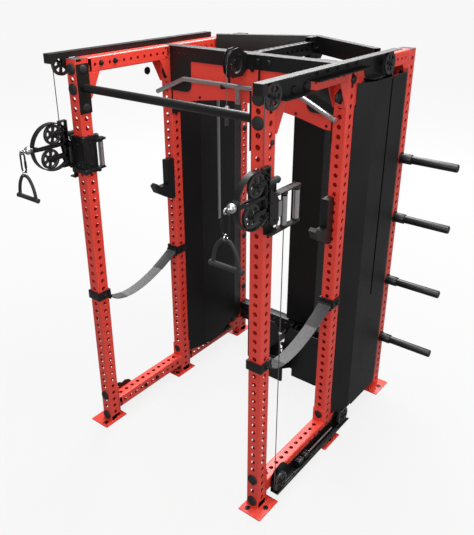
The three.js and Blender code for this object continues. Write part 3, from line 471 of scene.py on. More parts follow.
def drilled_tube(part, centre, axis, length, holes, faces=(0, 1, 2, 3), width=TUBE, depth=TUBE, pitch=PITCH,
                 hole_r=HOLE_R):
    """A square tube from centre along axis, with round corners. faces lists the drilled walls:
    the walls are numbered round the tube, from the first across direction."""
    centre, axis = Vector(centre), Vector(axis)
    u = Vector((1, 0, 0)) if abs(axis.x) < 0.5 else Vector((0, 1, 0))
    v = axis.cross(u)
    for k, (out, half_out, half_side, side) in enumerate(
            ((u, width / 2, depth / 2, v), (v, depth / 2, width / 2, u), (-u, width / 2, depth / 2, v),
             (-v, depth / 2, width / 2, u))):
        drilled_wall(part, centre + out * half_out, axis, side, -out, length, half_side - CORNER_R,
                     holes if k in faces else [], pitch, hole_r, WALL)
    for su in (-1, 1):
        for sv in (-1, 1):
            middle = centre + u * su * (width / 2 - CORNER_R) + v * sv * (depth / 2 - CORNER_R)
            steps = 3
            verts = []
            for i in range(steps + 1):
                a = math.pi / 2 * i / steps
                offset = (u * su * math.cos(a) + v * sv * math.sin(a)) * CORNER_R
                verts += [middle + offset, middle + offset + axis * length]
            part.add(verts, [[2 * i, 2 * i + 1, 2 * i + 3, 2 * i + 2] for i in range(steps)], smooth=True)
    # The cut ends show the tube's wall.
    for z in (0, length):
        hw, hd = width / 2, depth / 2
        outer = [centre + axis * z + u * a + v * b for a, b in ((-hw + 2, -hd + 2), (hw - 2, -hd + 2),
                                                               (hw - 2, hd - 2), (-hw + 2, hd - 2))]
        inner = [centre + axis * z + u * a + v * b for a, b in ((-hw + WALL, -hd + WALL), (hw - WALL, -hd + WALL),
                                                               (hw - WALL, hd - WALL), (-hw + WALL, hd - WALL))]
        part.add(outer + inner, [[i, (i + 1) % 4, 4 + (i + 1) % 4, 4 + i] for i in range(4)])


# ---- Posts ----
POST_HOLES = [68.4 - 6 + PITCH * i for i in range(44)]
PEG_Z = (410, 846, 1282, 1659)


def plastic_plug(part, x, y, z):
    """The black cap in a post's open top."""
    part.box(x - TUBE / 2 + 1, x + TUBE / 2 - 1, y + 1, y + TUBE - 1, z - 6, z - 0.2, 2)


def build_posts():
    for row, y in POST_Y.items():
        post = Part()
        drilled_tube(post, (POST_X, y + TUBE / 2, 6), (0, 0, 1), HEIGHT - 6.5, POST_HOLES)
        foot_bolts = Part()
        post.box(POST_IN - 13, POST_OUT + 54, y - 57, y + 118, 0, 6.4, 1.2)
        # Weld bead round the tube's foot.
        x0, x1, y0, y1 = POST_IN, POST_OUT, y, y + TUBE
        corners = [(x0, y0, 7), (x1, y0, 7), (x1, y1, 7), (x0, y1, 7), (x0, y0, 7)]
        post.sweep(corners, 3.2, 6)
        for ax, ay in ((POST_X - 13, y - 26), (POST_OUT + 27, y + TUBE / 2)):
            foot_bolts.turned([(4, 6.4), (15, 6.4), (15, 8.2), (14.2, 8.8), (4, 8.8)], (ax, ay, 0), (0, 0, 1), 20)
            foot_bolts.turned([(0, 6.4), (6, 6.4), (6, 7), (0, 7)], (ax, ay, 0), (0, 0, 1), 14)
        plug = Part()
        plastic_plug(plug, POST_X, y, HEIGHT)
        pegs = Part()
        if row == "rear":
            for z in PEG_Z:
                middle = y + TUBE / 2
                post_face = POST_OUT + 0.4
                pegs.turned([(0, 0), (30, 0), (30, 66), (28, 69), (24, 70), (24, 340), (22, 344.5), (0, 344.5)],
                            (post_face, middle, z), (1, 0, 0), 28)
                pegs.turned([(0, 0), (36, 0), (36, 4), (34.5, 5.5), (0, 5.5)], (post_face, middle, z), (1, 0, 0), 28)
        both_sides(
            (post, f"perforated_post_{row}", RED, "frame", "red_frame", f"post_{row}"),
            (foot_bolts, f"foot_washers_{row}", BOLT, "frame", "black_frame"),
            (plug, f"post_plug_{row}", PLASTIC, "frame", "black_frame"),
        )
        if row == "rear":
            both_sides((pegs, "plate_pegs", BLACK, "frame", "black_frame"))


build_posts()


# ---- Side beams ----
BEAM_HOLES = [50.8 * (i + 1) for i in range(11)]


def build_beams():
    for bay, y in (("front", 0.0), ("rear", BAY)):
        y0, y1 = y + TUBE + 0.5, y + BAY - 0.5
        length = y1 - y0 - 12
        for level, z0 in (("top", HEIGHT - TUBE), ("bottom", 75.0)):
            beam = Part()
            holes = [h - 6.5 for h in BEAM_HOLES if 30 < h - 6.5 < length - 25]
            drilled_tube(beam, (POST_X, y0 + 6, z0 + TUBE / 2), (0, 1, 0), length, holes, pitch=50.8,
                         hole_r=9 if level == "top" else HOLE_R)
            low, high = (z0 - 130, HEIGHT) if level == "top" else (20, 240)
            for a, b in ((y0, y0 + 6), (y1 - 6, y1)):
                beam.box(POST_IN + 0.3, POST_OUT - 0.3, a, b, low, high, 1.2)
            if level == "top":
                for end, way in ((y0, 1), (y1, -1)):
                    outline = [(end + way * 5, z0 + 2), (end + way * 80, z0 + 2), (end + way * 76, z0 - 4),
                               (end + way * 12, z0 - 128), (end + way * 5, z0 - 130)]
                    beam.prism(outline, POST_OUT - 5, POST_OUT - 0.3)
                    beam.prism(outline, POST_IN + 0.3, POST_IN + 5)
            bolts = Part()
            for end, out in ((y0 + 6, 1), (y1 - 6, -1)):
                spots = (z0 - 100, z0 - 52) if level == "top" else (z0 - 32, z0 + TUBE + 34)
                for z in spots:
                    bolts.hex_bolt((POST_X, end, z), (0, out, 0), 17)
            both_sides(
                (beam, f"perforated_beam_{level}_{bay}", RED, "frame", "red_frame", f"beam_{level}_{bay}"),
                (bolts, f"beam_bolts_{level}_{bay}", BOLT, "frame", "black_frame"),
            )


build_beams()


# ---- Caps and bolts on the frame ----
def build_fasteners():
    caps = Part()
    for z in (2235, 2135, 201, 48):
        caps.dome_cap((POST_X, -0.2, z), (0, -1, 0), 30, 13)
    caps.dome_cap((POST_OUT + 0.2, 48, 2051), (1, 0, 0), 12, 8)
    for y in (BAY, 2 * BAY):
        for z in (2235, 2135, 201, 48):
            caps.dome_cap((POST_X, y - 0.2 if y == BAY else y + TUBE + 0.2, z), (0, -1 if y == BAY else 1, 0), 28, 12)
    for z in (2236, 2040):
        caps.dome_cap((POST_IN - 6.4, 38, z), (-1, 0, 0), 22, 11)
    for z in PEG_Z:
        caps.dome_cap((POST_IN - 0.2, 2 * BAY + 38, z), (-1, 0, 0), 22, 12)
    bolts = Part()
    for y in (322, 430):
        bolts.hex_bolt((POST_IN - 0.2, y - 4, 113), (-1, 0, 0), 19)
    for y in (168, 265):
        bolts.hex_bolt((POST_IN - 0.2, y, 2251), (-1, 0, 0), 19)
    both_sides(
        (caps, "bolt_caps", PLASTIC, "frame", "black_frame"),
        (bolts, "inner_bolts", BOLT, "frame", "black_frame"),
    )


build_fasteners()


# ---- Pulleys ----
def spoked_pulley(part, x, y, z, radius, groove, width, spokes=5, hub=13):
    """A grooved wheel about X: rim, hub and spokes with open windows between them."""
    half = width / 2
    inner = groove - 7
    rim = [(inner, -half + 2), (inner + 2, -half), (radius - 1, -half), (radius, -half + 1.2), (groove, -3),
           (groove, 3), (radius, half - 1.2), (radius - 1, half), (inner + 2, half), (inner, half - 2),
           (inner, -half + 2)]
    part.turned(rim, (x, y, z), (1, 0, 0), 48)
    part.turned([(0, -half - 1), (hub - 1, -half - 1), (hub, -half), (hub, half), (hub - 1, half + 1), (0, half + 1)],
                (x, y, z), (1, 0, 0), 28)
    for k in range(spokes):
        a = 2 * math.pi * k / spokes + 0.35
        direction = Vector((0, math.cos(a), math.sin(a)))
        across = Vector((0, -math.sin(a), math.cos(a)))
        thick = Vector((1, 0, 0)) * (half - 2.5)
        centre = Vector((x, y, z))
        verts = []
        for reach, wide in ((hub - 3, 7), (hub + 7, 6), (inner - 7, 7), (inner + 2, 12)):
            for sx in (-1, 1):
                for sw in (-1, 1):
                    verts.append(centre + direction * reach + across * wide * sw + thick * sx)
        faces = []
        for i in range(3):
            a0, b0 = 4 * i, 4 * (i + 1)
            faces += [[a0, a0 + 1, b0 + 1, b0], [a0 + 2, b0 + 2, b0 + 3, a0 + 3], [a0, b0, b0 + 2, a0 + 2],
                      [a0 + 1, a0 + 3, b0 + 3, b0 + 1]]
        part.add(verts, faces)


def node_middle(node):
    """The middle of a CAD node's box, in this script's millimetres."""
    low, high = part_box(node)
    return ((low[0] + high[0]) / 2 / MM, ((low[1] + high[1]) / 2 - ORIGIN_Y) / MM, (low[2] + high[2]) / 2 / MM)


def build_pulleys():
    for label, side in SIDES.items():
        for kind, spec in (("top_front", (57, 50, 16, 6)), ("top_rear", (57, 50, 16, 6)),
                           ("bottom_front", (57, 50, 16, 6)), ("bottom_rear", (57, 50, 16, 6)),
                           ("head_upper", (54, 47.5, 16, 6)), ("head_lower", (54, 47.5, 16, 6))):
            node = f"{kind}_pulley_{label}"
            x, y, z = node_middle(node)
            wheel = Part()
            spoked_pulley(wheel, abs(x), y, z, spec[0], spec[1], spec[2], spec[3])
            wheel.build(f"{kind}_sheave_{label}", PULLEY, f"{kind}_wheel_{label}", side, "pulley", [node])
    wheel = Part()
    x, y, z = node_middle("lat_pulley")
    spoked_pulley(wheel, 0, y, z, 70, 62, 18, 6, 18)
    wheel.build("lat_sheave", PULLEY, "lat_wheel", 1, "pulley", ["lat_pulley"])


build_pulleys()


# ---- Swept strips: webbing ----
def smooth_line(points, steps=6):
    """A Catmull-Rom line through the given (y, z) points."""
    ends = [points[0]] + list(points) + [points[-1]]
    line = []
    for i in range(1, len(ends) - 2):
        p0, p1, p2, p3 = (Vector(p) for p in ends[i - 1:i + 3])
        for k in range(steps):
            t = k / steps
            line.append(0.5 * ((2 * p1) + (p2 - p0) * t + (2 * p0 - 5 * p1 + 4 * p2 - p3) * t ** 2
                               + (3 * p1 - p0 - 3 * p2 + p3) * t ** 3))
    return line + [Vector(points[-1])]


def arc(y, z, radius, first, last, steps):
    """(y, z) points from one angle to another, in degrees."""
    turns = [math.radians(first + (last - first) * i / steps) for i in range(steps + 1)]
    return [(y + radius * math.cos(a), z + radius * math.sin(a)) for a in turns]


def at_x(x, line):
    """(y, z) points set at one x."""
    return [(x, y, z) for y, z in line]


def length_of(line):
    return sum((b - a).length for a, b in zip(line, line[1:]))


def stretch_of(line, low, high):
    """The part of a line between two distances along it."""
    piece, gone = [], 0.0
    for a, b in zip(line, line[1:]):
        step = (b - a).length
        if gone <= high and gone + step >= low:
            for at in (max(low, gone), min(high, gone + step)):
                p = a.lerp(b, (at - gone) / step)
                if not piece or (p - piece[-1]).length > 0.5:
                    piece.append(p)
        gone += step
    return piece


def ribbon(part, line, x0, x1, thick):
    """A flat strip with round edges along a line in the Y-Z plane."""
    edge = thick * 0.6
    half = thick / 2
    section = [(x0, -half * 0.4), (x0 + edge, -half), (x1 - edge, -half), (x1, -half * 0.4), (x1, half * 0.4),
               (x1 - edge, half), (x0 + edge, half), (x0, half * 0.4)]
    verts = []
    for i, p in enumerate(line):
        along = (line[min(i + 1, len(line) - 1)] - line[max(i - 1, 0)]).normalized()
        out = Vector((-along.y, along.x))
        verts += [(x, p.x + out.x * h, p.y + out.y * h) for x, h in section]
    n = len(section)
    faces = [[i * n + k, i * n + (k + 1) % n, (i + 1) * n + (k + 1) % n, (i + 1) * n + k]
             for i in range(len(line) - 1) for k in range(n)]
    part.add(verts, faces, smooth=True)
    part.add(verts[:n], [list(range(n))[::-1]])
    part.add(verts[-n:], [list(range(n))])


def build_straps():
    line = smooth_line([(88.2, 902.5), (136.2, 864.5), (206.2, 843.5), (286.2, 839.5), (386.2, 855.5), (496.2, 891.5),
                        (596.2, 937.5), (673.8, 982.5)])
    total = length_of(line)
    strap, front, rear = Part(), Part(), Part()
    ribbon(strap, stretch_of(line, 4, total - 4), POST_X - 37, POST_X + 37, 4.6)
    ribbon(front, stretch_of(line, 0, 150), POST_X - 38.5, POST_X + 38.5, 8.5)
    ribbon(rear, stretch_of(line, total - 165, total), POST_X - 38.5, POST_X + 38.5, 8.5)
    stitches = Part()
    for at in (20, 34, 120, 134, total - 150, total - 136, total - 34, total - 20):
        p, q = stretch_of(line, at, at + 2)[0], stretch_of(line, at, at + 2)[-1]
        out = Vector((-(q - p).y, (q - p).x)).normalized()
        for k in range(17):
            x = POST_X - 32 + 4 * k
            for lift in (4.4, -4.4):
                c = p + out * lift
                stitches.ball((x, c.x, c.y), 1.15, 6, 4)
    bracket = Part()
    for y, z, behind in ((0.0, 932, 8), (BAY, 985, 0)):
        x0, x1, y0, y1 = POST_IN, POST_OUT, y, y + TUBE
        bracket.box(x0 - 8, x1 + 8, y0 - 8, y0 - 0.6, z - 26, z + 26, 3)
        for sx in (x0 - 8, x1 + 0.6):
            bracket.box(sx, sx + 7.4, y0 - 7, y1 + behind - 1, z - 26, z + 26, 3)
        if behind:
            bracket.box(x0 - 8, x1 + 8, y1 + 0.6, y1 + 8, z - 26, z + 26, 3)
        for side_x, way in ((x0 - 8, -1), (x1 + 8, 1)):
            bracket.hex_bolt((side_x, y + TUBE / 2, z), (way, 0, 0), 22)
    for y0, y1, z in ((TUBE + 7, TUBE + 16, 909), (BAY - 16, BAY - 7, 971)):
        bracket.box(POST_X - 38, POST_X + 38, y0, y1, z - 26, z + 26, 2.5)
        for x in (POST_X - 24, POST_X + 24):
            bracket.hex_bolt((x, y0 if y0 > 300 else y1, z), (0, -1 if y0 > 300 else 1, 0), 13, washer=False)
    for y, z in ((TUBE + 15, 903), (BAY - 15, 982)):
        bracket.rod((POST_X - 41, y, z), (POST_X + 41, y, z), 6.5, 14)
    for label, side in SIDES.items():
        hardware = bracket.build(f"strap_brackets_{label}", BLACK, "frame", side, "black_frame",
                                 [f"safety_strap_{label}"])
        web = strap.build(f"strap_webbing_{label}", WEBBING, "frame", side, "webbing")
        for piece, name, reach in ((front, "front", 0.150), (rear, "rear", 0.165)):
            sleeve = piece.build(f"strap_sleeve_{name}_{label}", SLEEVE, "frame", side, "webbing")
        stitches.build(f"strap_stitching_{label}", SLEEVE, "frame", side, "webbing")


build_straps()


# ---- Trolleys, levers, swivel heads, handles ----
SWIVEL_Y = -57.0
ANCHOR_Y = 106.3
BALL_Z = 1861.0


def build_trolleys():
    body, bolts, bright, caps = Part(), Part(), Part(), Part()
    x0, x1, y0, y1 = POST_IN - 1, POST_OUT + 1, -1.0, TUBE + 1
    low, high = 1690.0, 1893.0
    for a, b, c, d in ((x0 - 6, x1 + 6, y0 - 6, y0), (x0 - 6, x1 + 6, y1, y1 + 6), (x0 - 6, x0, y0 - 5, y1 + 5),
                       (x1, x1 + 6, y0 - 5, y1 + 5)):
        body.box(a, b, c, d, low + 4, high - 4, 2.5)
    for z0, z1 in ((low, low + 24), (high - 24, high)):
        for a, b, c, d in ((x0 - 13, x1 + 13, y0 - 14, y0), (x0 - 13, x1 + 13, y1, y1 + 14),
                           (x0 - 14, x0, y0 - 13, y1 + 13), (x1, x1 + 14, y0 - 13, y1 + 13)):
            body.box(a, b, c, d, z0, z1, 3.5)
        for cx in (x0 - 7, x1 + 7):
            for cy in (y0 - 7, y1 + 7):
                body.rod((cx, cy, z0 - 1), (cx, cy, z1 + 1), 13, 20, 2)
                out = 1 if z0 > 1700 else -1
                bolts.turned([(0, 0), (6.5, 0), (6.5, 3), (5.4, 4.6), (3.2, 4.6), (3.2, 3), (0, 3)],
                             (cx, cy, z1 + 0.3 if out > 0 else z0 - 0.3), (0, 0, out), 16)
    for k in (-34, 34):
        body.box(POST_X + k - 3, POST_X + k + 3, y0 - 9.5, y0 - 5, low + 20, high - 20, 1.4)
        body.box(x0 - 9.5, x0 - 5, 38 + k - 3, 38 + k + 3, low + 20, high - 20, 1.4)
    for z in (low + 44, high - 44):
        bolts.hex_bolt((POST_X, y0 - 6.2, z), (0, -1, 0), 13)
        bolts.hex_bolt((x0 - 6.2, 38, z), (-1, 0, 0), 13)
    root = x1 + 5
    # Arms: the upper one is a deep folded plate, the lower one a flat bar.
    body.prism([(-14, 1834), (226, 1834), (226, 1822), (120, 1812), (40, 1806), (-14, 1806)], root, root + 5)
    body.prism([(root, -14), (CABLE_X + 14, -14), (CABLE_X + 16, -6), (CABLE_X + 16, 218), (CABLE_X + 8, 226),
                (CABLE_X - 12, 226), (root, 60)], 1828, 1834, "XY")
    body.prism([(root, -14), (CABLE_X + 14, -14), (CABLE_X + 16, -6), (CABLE_X + 16, 218), (CABLE_X + 8, 226),
                (CABLE_X - 12, 226), (root, 60)], 1655, 1662, "XY")
    body.prism([(-15, 1655), (60, 1655), (60, 1700), (36, 1760), (36, 1888), (-15, 1888)], root, root + 6)
    for z0, z1 in ((1722.8, 1730.2), (1965.8, 1973.2)):
        hinge = [(CABLE_X - 12, -16), (CABLE_X - 12, -57)]
        hinge += [(CABLE_X + 12 * math.cos(a), -57 + 12 * math.sin(a))
                  for a in (math.radians(180 + 180 * i / 10) for i in range(1, 10))]
        hinge += [(CABLE_X + 12, -57), (CABLE_X + 12, -16)]
        body.prism(hinge, z0, z1, "XY")
    body.box(CABLE_X - 11, CABLE_X + 11, -23.6, -15, 1722.8, 1973.2, 2)
    body.box(root, CABLE_X + 12, -22, -14, 1832, 1850, 2)
    body.box(root, CABLE_X + 12, -22, -14, 1722.8, 1736, 2)
    bright.box(CABLE_X - 14.5, CABLE_X + 14.5, -22.5, 10.5, 1738, 1829, 4)
    for z in (1757, 1810):
        bolts.hex_bolt((CABLE_X - 14.2, -6, z), (-1, 0, 0), 11, washer=False)
        bolts.hex_bolt((CABLE_X + 14.2, -6, z), (1, 0, 0), 11, washer=False)
    # Pull knob along the arm.
    knob_z = high + 3
    caps.turned([(0, 0), (11, 0), (13.5, 2), (14, 6), (14, 20), (12.4, 23), (12.4, 58), (14, 61), (14, 74), (11, 80),
                 (0, 80)], (CABLE_X, -19.6, knob_z), (0, 1, 0), 24)
    bright.turned([(0, 80), (7, 80), (7, 82), (0, 82)], (CABLE_X, -19.6, knob_z), (0, 1, 0), 18)
    # Cable anchor and grip between the arms.
    for y, low_z, r in ((206, 1666, 14.8), (ANCHOR_Y, 1672, 14.8)):
        bright.turned([(0, 0), (r, 0), (r, 1808 - low_z), (0, 1808 - low_z)], (CABLE_X, y, low_z), (0, 0, 1), 28)
    for y in (206, ANCHOR_Y):
        for z0, way in ((1655.5, 1), (1829, -1)):
            caps.turned([(0, 0), (14, 0), (16, 3), (16, 15), (13, 18), (0, 18)], (CABLE_X, y, z0), (0, 0, way), 24)
    # A plate over the outer side of the swivel block.
    body.prism([(-23.6, 1722.8), (-4, 1702), (38, 1700), (42, 1720), (42, 1812), (30, 1834), (-23.6, 1880)], 665, 671.4)
    bolts.hex_bolt((671.4, 20, 1722), (1, 0, 0), 11, washer=False)
    caps.turned([(2.6, 0), (9, 0), (13, 5), (15, 12), (15, 17), (2.6, 17)], (CABLE_X, ANCHOR_Y, 1651), (0, 0, 1), 24)
    lever = Part()
    lever.box(CABLE_X - 11.5, CABLE_X + 11.5, 46, 75, 1724.5, 1797.5, 5)
    lever.rod((CABLE_X, 54, 1665.5), (CABLE_X, 54, 1811.5), 4, 14)
    both_sides(
        (body, "carriage", BLACK, "trolley", "black_frame", "trolley"),
        (bolts, "carriage_bolts", BOLT, "trolley", "black_frame"),
        (caps, "carriage_caps", PLASTIC, "trolley", "black_frame"),
        (bright, "carriage_grips", STEEL, "trolley", "bright_steel"),
        (lever, "squeeze_lever", STEEL, "lever", "bright_steel", "release_lever"),
    )


build_trolleys()


BAND_STEPS = 56
HANDLE_Y = -304.0
# The head's D-shaped guard: its circle, band and flat back.
GUARD = {"y": -119.0, "z": 1848.0, "r": 127.0, "band": 6.0, "half": 15.0, "back": -30.0}


def build_heads():
    g = GUARD
    upper, lower = node_middle("head_upper_pulley_right"), node_middle("head_lower_pulley_right")
    guard, bolts = Part(), Part()
    turn = math.degrees(math.acos((g["back"] - g["y"]) / g["r"]))
    turn_in = math.degrees(math.acos((g["back"] - g["y"]) / (g["r"] - g["band"])))
    outer = arc(g["y"], g["z"], g["r"], turn, 360 - turn, BAND_STEPS)
    inner = arc(g["y"], g["z"], g["r"] - g["band"], turn_in, 360 - turn_in, BAND_STEPS)
    for i in range(BAND_STEPS):
        cell = [outer[i], outer[i + 1], inner[i + 1], inner[i]]
        height = (outer[i][1] + outer[i + 1][1]) / 2 - BALL_Z
        low, high = CABLE_X - g["half"], CABLE_X + g["half"]
        mouth = abs(height) < 9 and outer[i][0] < -200
        for a, b in ((low, CABLE_X - 9), (CABLE_X + 9, high)) if mouth else ((low, high),):
            verts = [(x, y, z) for x in (a, b) for y, z in cell]
            faces = [[0, 1, 5, 4], [2, 3, 7, 6], [0, 3, 2, 1], [4, 5, 6, 7]]
            if mouth or i in (0, BAND_STEPS - 1) or abs(height) < 17:
                faces += [[1, 2, 6, 5], [3, 0, 4, 7]]
            guard.add(verts, faces, smooth=True)
    # A lip on both rims of the band.
    for x in (CABLE_X - g["half"] + 1.2, CABLE_X + g["half"] - 1.2):
        guard.sweep(at_x(x, arc(g["y"], g["z"], g["r"] - 2.4, turn, 360 - turn, BAND_STEPS)), 2.4, 8)
    guard.box(CABLE_X - 15, CABLE_X + 15, -44, -30, 1731.5, 1938, 2)
    for way in (-1, 1):
        a, b = CABLE_X + way * 11, CABLE_X + way * 15
        a, b = min(a, b), max(a, b)
        for _, y, z in (upper, lower):
            guard.prism([(y, z - 9), (-31, z - 11), (-31, z + 11), (y, z + 9)], a, b)
            guard.turned([(0, 0), (15, 0), (16, 1), (16, 3.2), (15, 4), (0, 4)], (a, y, z), (1, 0, 0), 24)
            bolts.hex_bolt((CABLE_X + way * 15, y, z), (way, 0, 0), 17, washer=False)
        guard.prism([(-243, 1846), (-190, 1843), (-44, 1843), (-44, 1857), (-190, 1857), (-243, 1876)], a, b)
        guard.prism([(-30, 1732), (-44, 1744), (-52, 1762), (-50, 1800), (-58, 1848), (-50, 1880), (-48, 1925),
                     (-42, 1937), (-30, 1937)], a, b)
        for z in (1772, 1822, 1874, 1921):
            bolts.hex_bolt((CABLE_X + way * 15, -40, z), (way, 0, 0), 8, washer=False)
    for z0, z1 in ((1946, 1965), (1731, 1744)):
        guard.turned([(5.8, 0), (11, 0), (12, 1.2), (12, z1 - z0 - 1.2), (11, z1 - z0), (5.8, z1 - z0)],
                     (CABLE_X, SWIVEL_Y, z0), (0, 0, 1), 24)
    stop = Part()
    stop.ball((CABLE_X, -267, BALL_Z), 21, 28, 16)
    stop.turned([(2.6, 0), (8, 0), (8.5, 1), (8.5, 22), (7, 26), (2.6, 27)], (CABLE_X, -248, BALL_Z), (0, 1, 0), 20)
    stop.rod((CABLE_X, -284, BALL_Z), (CABLE_X, -292, BALL_Z), 6.5, 16)
    stop.sweep(at_x(CABLE_X, arc(HANDLE_Y, BALL_Z, 11, 0, 360, 24)), 3.4, 10, closed_ends=False)
    clip, ring, hand = Part(), Part(), Part()
    y = HANDLE_Y
    top, low, wide = 1860.2, 1757.5, 17.6
    oval = []
    for cz, start in ((top - wide, 0), (low + wide, 180)):
        oval += [(x, y, z) for x, z in arc(CABLE_X, cz, wide, start, start + 180, 12)]
    clip.sweep(oval + [oval[0]], 4.6, 12, closed_ends=False)
    clip.rod((CABLE_X - wide, y, 1783), (CABLE_X - wide, y, 1818), 6.2, 14)
    ring.sweep(at_x(CABLE_X, arc(y, 1750, 12, 0, 360, 24)), 3, 10, closed_ends=False)
    outer = [(0, 1738), (22, 1733), (42, 1710), (57, 1679), (65, 1645), (67, 1622)]
    right = smooth_line(outer, 5)
    for way in (-1, 1):
        hand.sweep([(CABLE_X + way * p.x, y, p.y) for p in right], 8.6, 14)
    hand.turned([(0, 0), (11, 0), (13, 2), (13, 10), (12, 12), (12, 159), (13, 161), (13, 169), (11, 171), (0, 171)],
                (CABLE_X - 85.5, y, 1619), (1, 0, 0), 24)
    both_sides(
        (guard, "head_guard", BLACK, "head", "black_frame", "swivel_head"),
        (bolts, "head_bolts", BOLT, "head", "black_frame"),
        (stop, "ball_stop", STEEL, "pull", "bright_steel", "cable_stop"),
        (hand, "d_handle", RUBBER, "handle", "handle_rubber", "handle"),
        (clip, "snap_clip", BOLT, "handle", "black_frame"),
        (ring, "handle_ring", CHROME, "handle", "bright_steel"),
    )


build_heads()


# ---- Bottom cable arms ----
def build_bottom_arms():
    front, rear = node_middle("bottom_front_pulley_right"), node_middle("bottom_rear_pulley_right")
    arm, bolts, rod = Part(), Part(), Part()
    x0 = POST_OUT + 0.5
    web = [(118, 50), (132, 48), (914, 48), (930, 62), (930, 140), (912, 150), (820, 156), (760, 112), (290, 112),
           (240, 172), (206, 186), (150, 176), (118, 150)]
    arm.prism(web, x0, x0 + 4)
    arm.box(x0, 671.5, 120, 929, 44.4, 48.4, 1)
    arm.prism([(119, 45), (929, 45), (929, 54), (920, 60), (790, 60), (770, 74), (290, 74), (270, 60), (128, 60),
               (119, 54)], 667.6, 671.6)
    for y in (375, 440):
        arm.box(630, 664, y - 24, y + 24, 49, 104, 4)
        for dy in (-13, 13):
            bolts.hex_bolt((646, y + dy, 104), (0, 0, 1), 12)
    rod.rod((648, 398, 84), (648, 418, 84), 9, 18)
    rod.rod((648, 470, 88), (648, 742, 88), 6, 18)
    for y in (330, 500, 570, 640, 710, 780):
        bolts.turned([(0, 0), (7, 0), (6, 2.6), (0, 3)], (671.6, y, 60), (1, 0, 0), 16)
    for _, y, z in (front, rear):
        bolts.hex_bolt((663.4, y, z), (1, 0, 0), 19)
        bolts.rod((x0 + 4, y, z), (663.4, y, z), 7.6, 18)
    both_sides(
        (arm, "bottom_arm_channel", BLACK, "frame", "black_frame", "bottom_cable_arm"),
        (bolts, "bottom_arm_bolts", BOLT, "frame", "black_frame"),
        (rod, "bottom_arm_rod", CHROME, "frame", "bright_steel"),
    )


build_bottom_arms()


# ---- Top cable arms: bolts and caps ----
def build_top_arm_details():
    bolts = Part()
    for y, z in ((196, 2245), (290, 2247)):
        bolts.turned([(0, 0), (19, 0), (19, 4), (16, 7), (0, 8)], (POST_OUT + 4.4, y, z), (1, 0, 0), 24)
    for y, z in ((729, 2212), (576, 2150)):
        bolts.dome_cap((POST_OUT + 0.2, y, z), (1, 0, 0), 22, 12)
    for y in (380, 470, 560, 650, 740):
        bolts.hex_bolt((POST_OUT + 4.4, y, 2290), (1, 0, 0), 13)
    for y, z in ((-4.3, 2255), (1042, 2255)):
        bolts.hex_bolt((667, y, z), (1, 0, 0), 19)
    both_sides((bolts, "top_arm_bolts", BOLT, "frame", "black_frame"))


build_top_arm_details()


# ---- Overhead members ----
def build_guide_rails():
    """The bright rail that shows in each shroud's inner slot."""
    rail = Part()
    rail.box(497.5, 502.5, 1052, 1081, 1100, 2188, 1.5)
    both_sides((rail, "guide_rail", STEEL, "frame", "bright_steel"))


build_guide_rails()


def build_overhead():
    top = HEIGHT - TUBE
    spine = Part()
    y0, y1 = BAY + TUBE + 7, 1330
    holes = [32 + 50.8 * i for i in range(10)]
    drilled_tube(spine, (0, y0, HEIGHT - TUBE / 2), (0, 1, 0), y1 - y0, holes, width=50, depth=TUBE, pitch=50.8,
                 hole_r=11)
    spine.box(-60, 60, BAY + TUBE + 0.6, BAY + TUBE + 6.6, top, HEIGHT, 1.5)
    start, end, half = 1418.0, (545.6, 1117.0), 22.5
    run = Vector((end[0], end[1] - start))
    out = Vector((-run.y, run.x)).normalized() * half
    for side in (-1, 1):
        shape = [(side * p.x, p.y) for p in (Vector((0, start)) - out, Vector(end) - out, Vector(end) + out,
                                             Vector((0, start)) + out)]
        for z in (2213, 2307):
            spine.prism(shape, z, z + 4, "XY")
        inner = [(side * p.x, p.y) for p in (Vector((0, start)) - out, Vector(end) - out, Vector(end) - out * 0.8,
                                             Vector((0, start)) - out * 0.8)]
        outer = [(side * p.x, p.y) for p in (Vector((0, start)) + out * 0.8, Vector(end) + out * 0.8, Vector(end) + out,
                                             Vector((0, start)) + out)]
        spine.prism(inner, 2213, 2311, "XY")
        spine.prism(outer, 2213, 2311, "XY")
    for side in (-1, 1):
        spine.prism([(1310, 2190), (1436, 2176), (1461, 2202), (1461, 2298), (1440, 2311), (1310, 2311)],
                    min(side * 15, side * 20), max(side * 15, side * 20))
    spine.box(-20, 20, 1312, 1440, 2306, 2311.5, 1.5)
    bolts = Part()
    for side in (-1, 1):
        bolts.hex_bolt((side * 20, 1381, 2240), (side, 0, 0), 22)
        for x in (38, 82):
            bolts.turned([(0, 0), (13, 0), (13, 3), (10, 6), (0, 7)], (side * 48, BAY - 0.2, 2170 + x), (0, -1, 0),
                         20)
    for x in (84, 151):
        bolts.turned([(0, 0), (17, 0), (17, 4), (13, 8), (0, 9)], (x, BAY - 0.2, 2250), (0, -1, 0), 24)
    for x in (-512, -473, -435, -396, -358):
        bolts.turned([(0, 0), (5, 0), (4, 2), (0, 2.4)], (x, BAY - 0.2, 2246), (0, -1, 0), 12)
    for x, z in ((-510, 1975), (-327, 2014), (510, 1975), (327, 2014)):
        bolts.turned([(0, 0), (8, 0), (7, 3), (0, 3.6)], (x, BAY + 5.8, z), (0, -1, 0), 16)
    wheel = Part()
    spoked_pulley(wheel, 0, 1381, 2240, 54, 47, 18, 6, 15)
    spine.build("overhead_members", BLACK, "frame", 1, "black_frame", ["overhead_frame"])
    bolts.build("overhead_bolts", BOLT, "frame", 1, "black_frame")
    wheel.build("rear_overhead_sheave", PULLEY, "frame", 1, "pulley")


build_overhead()


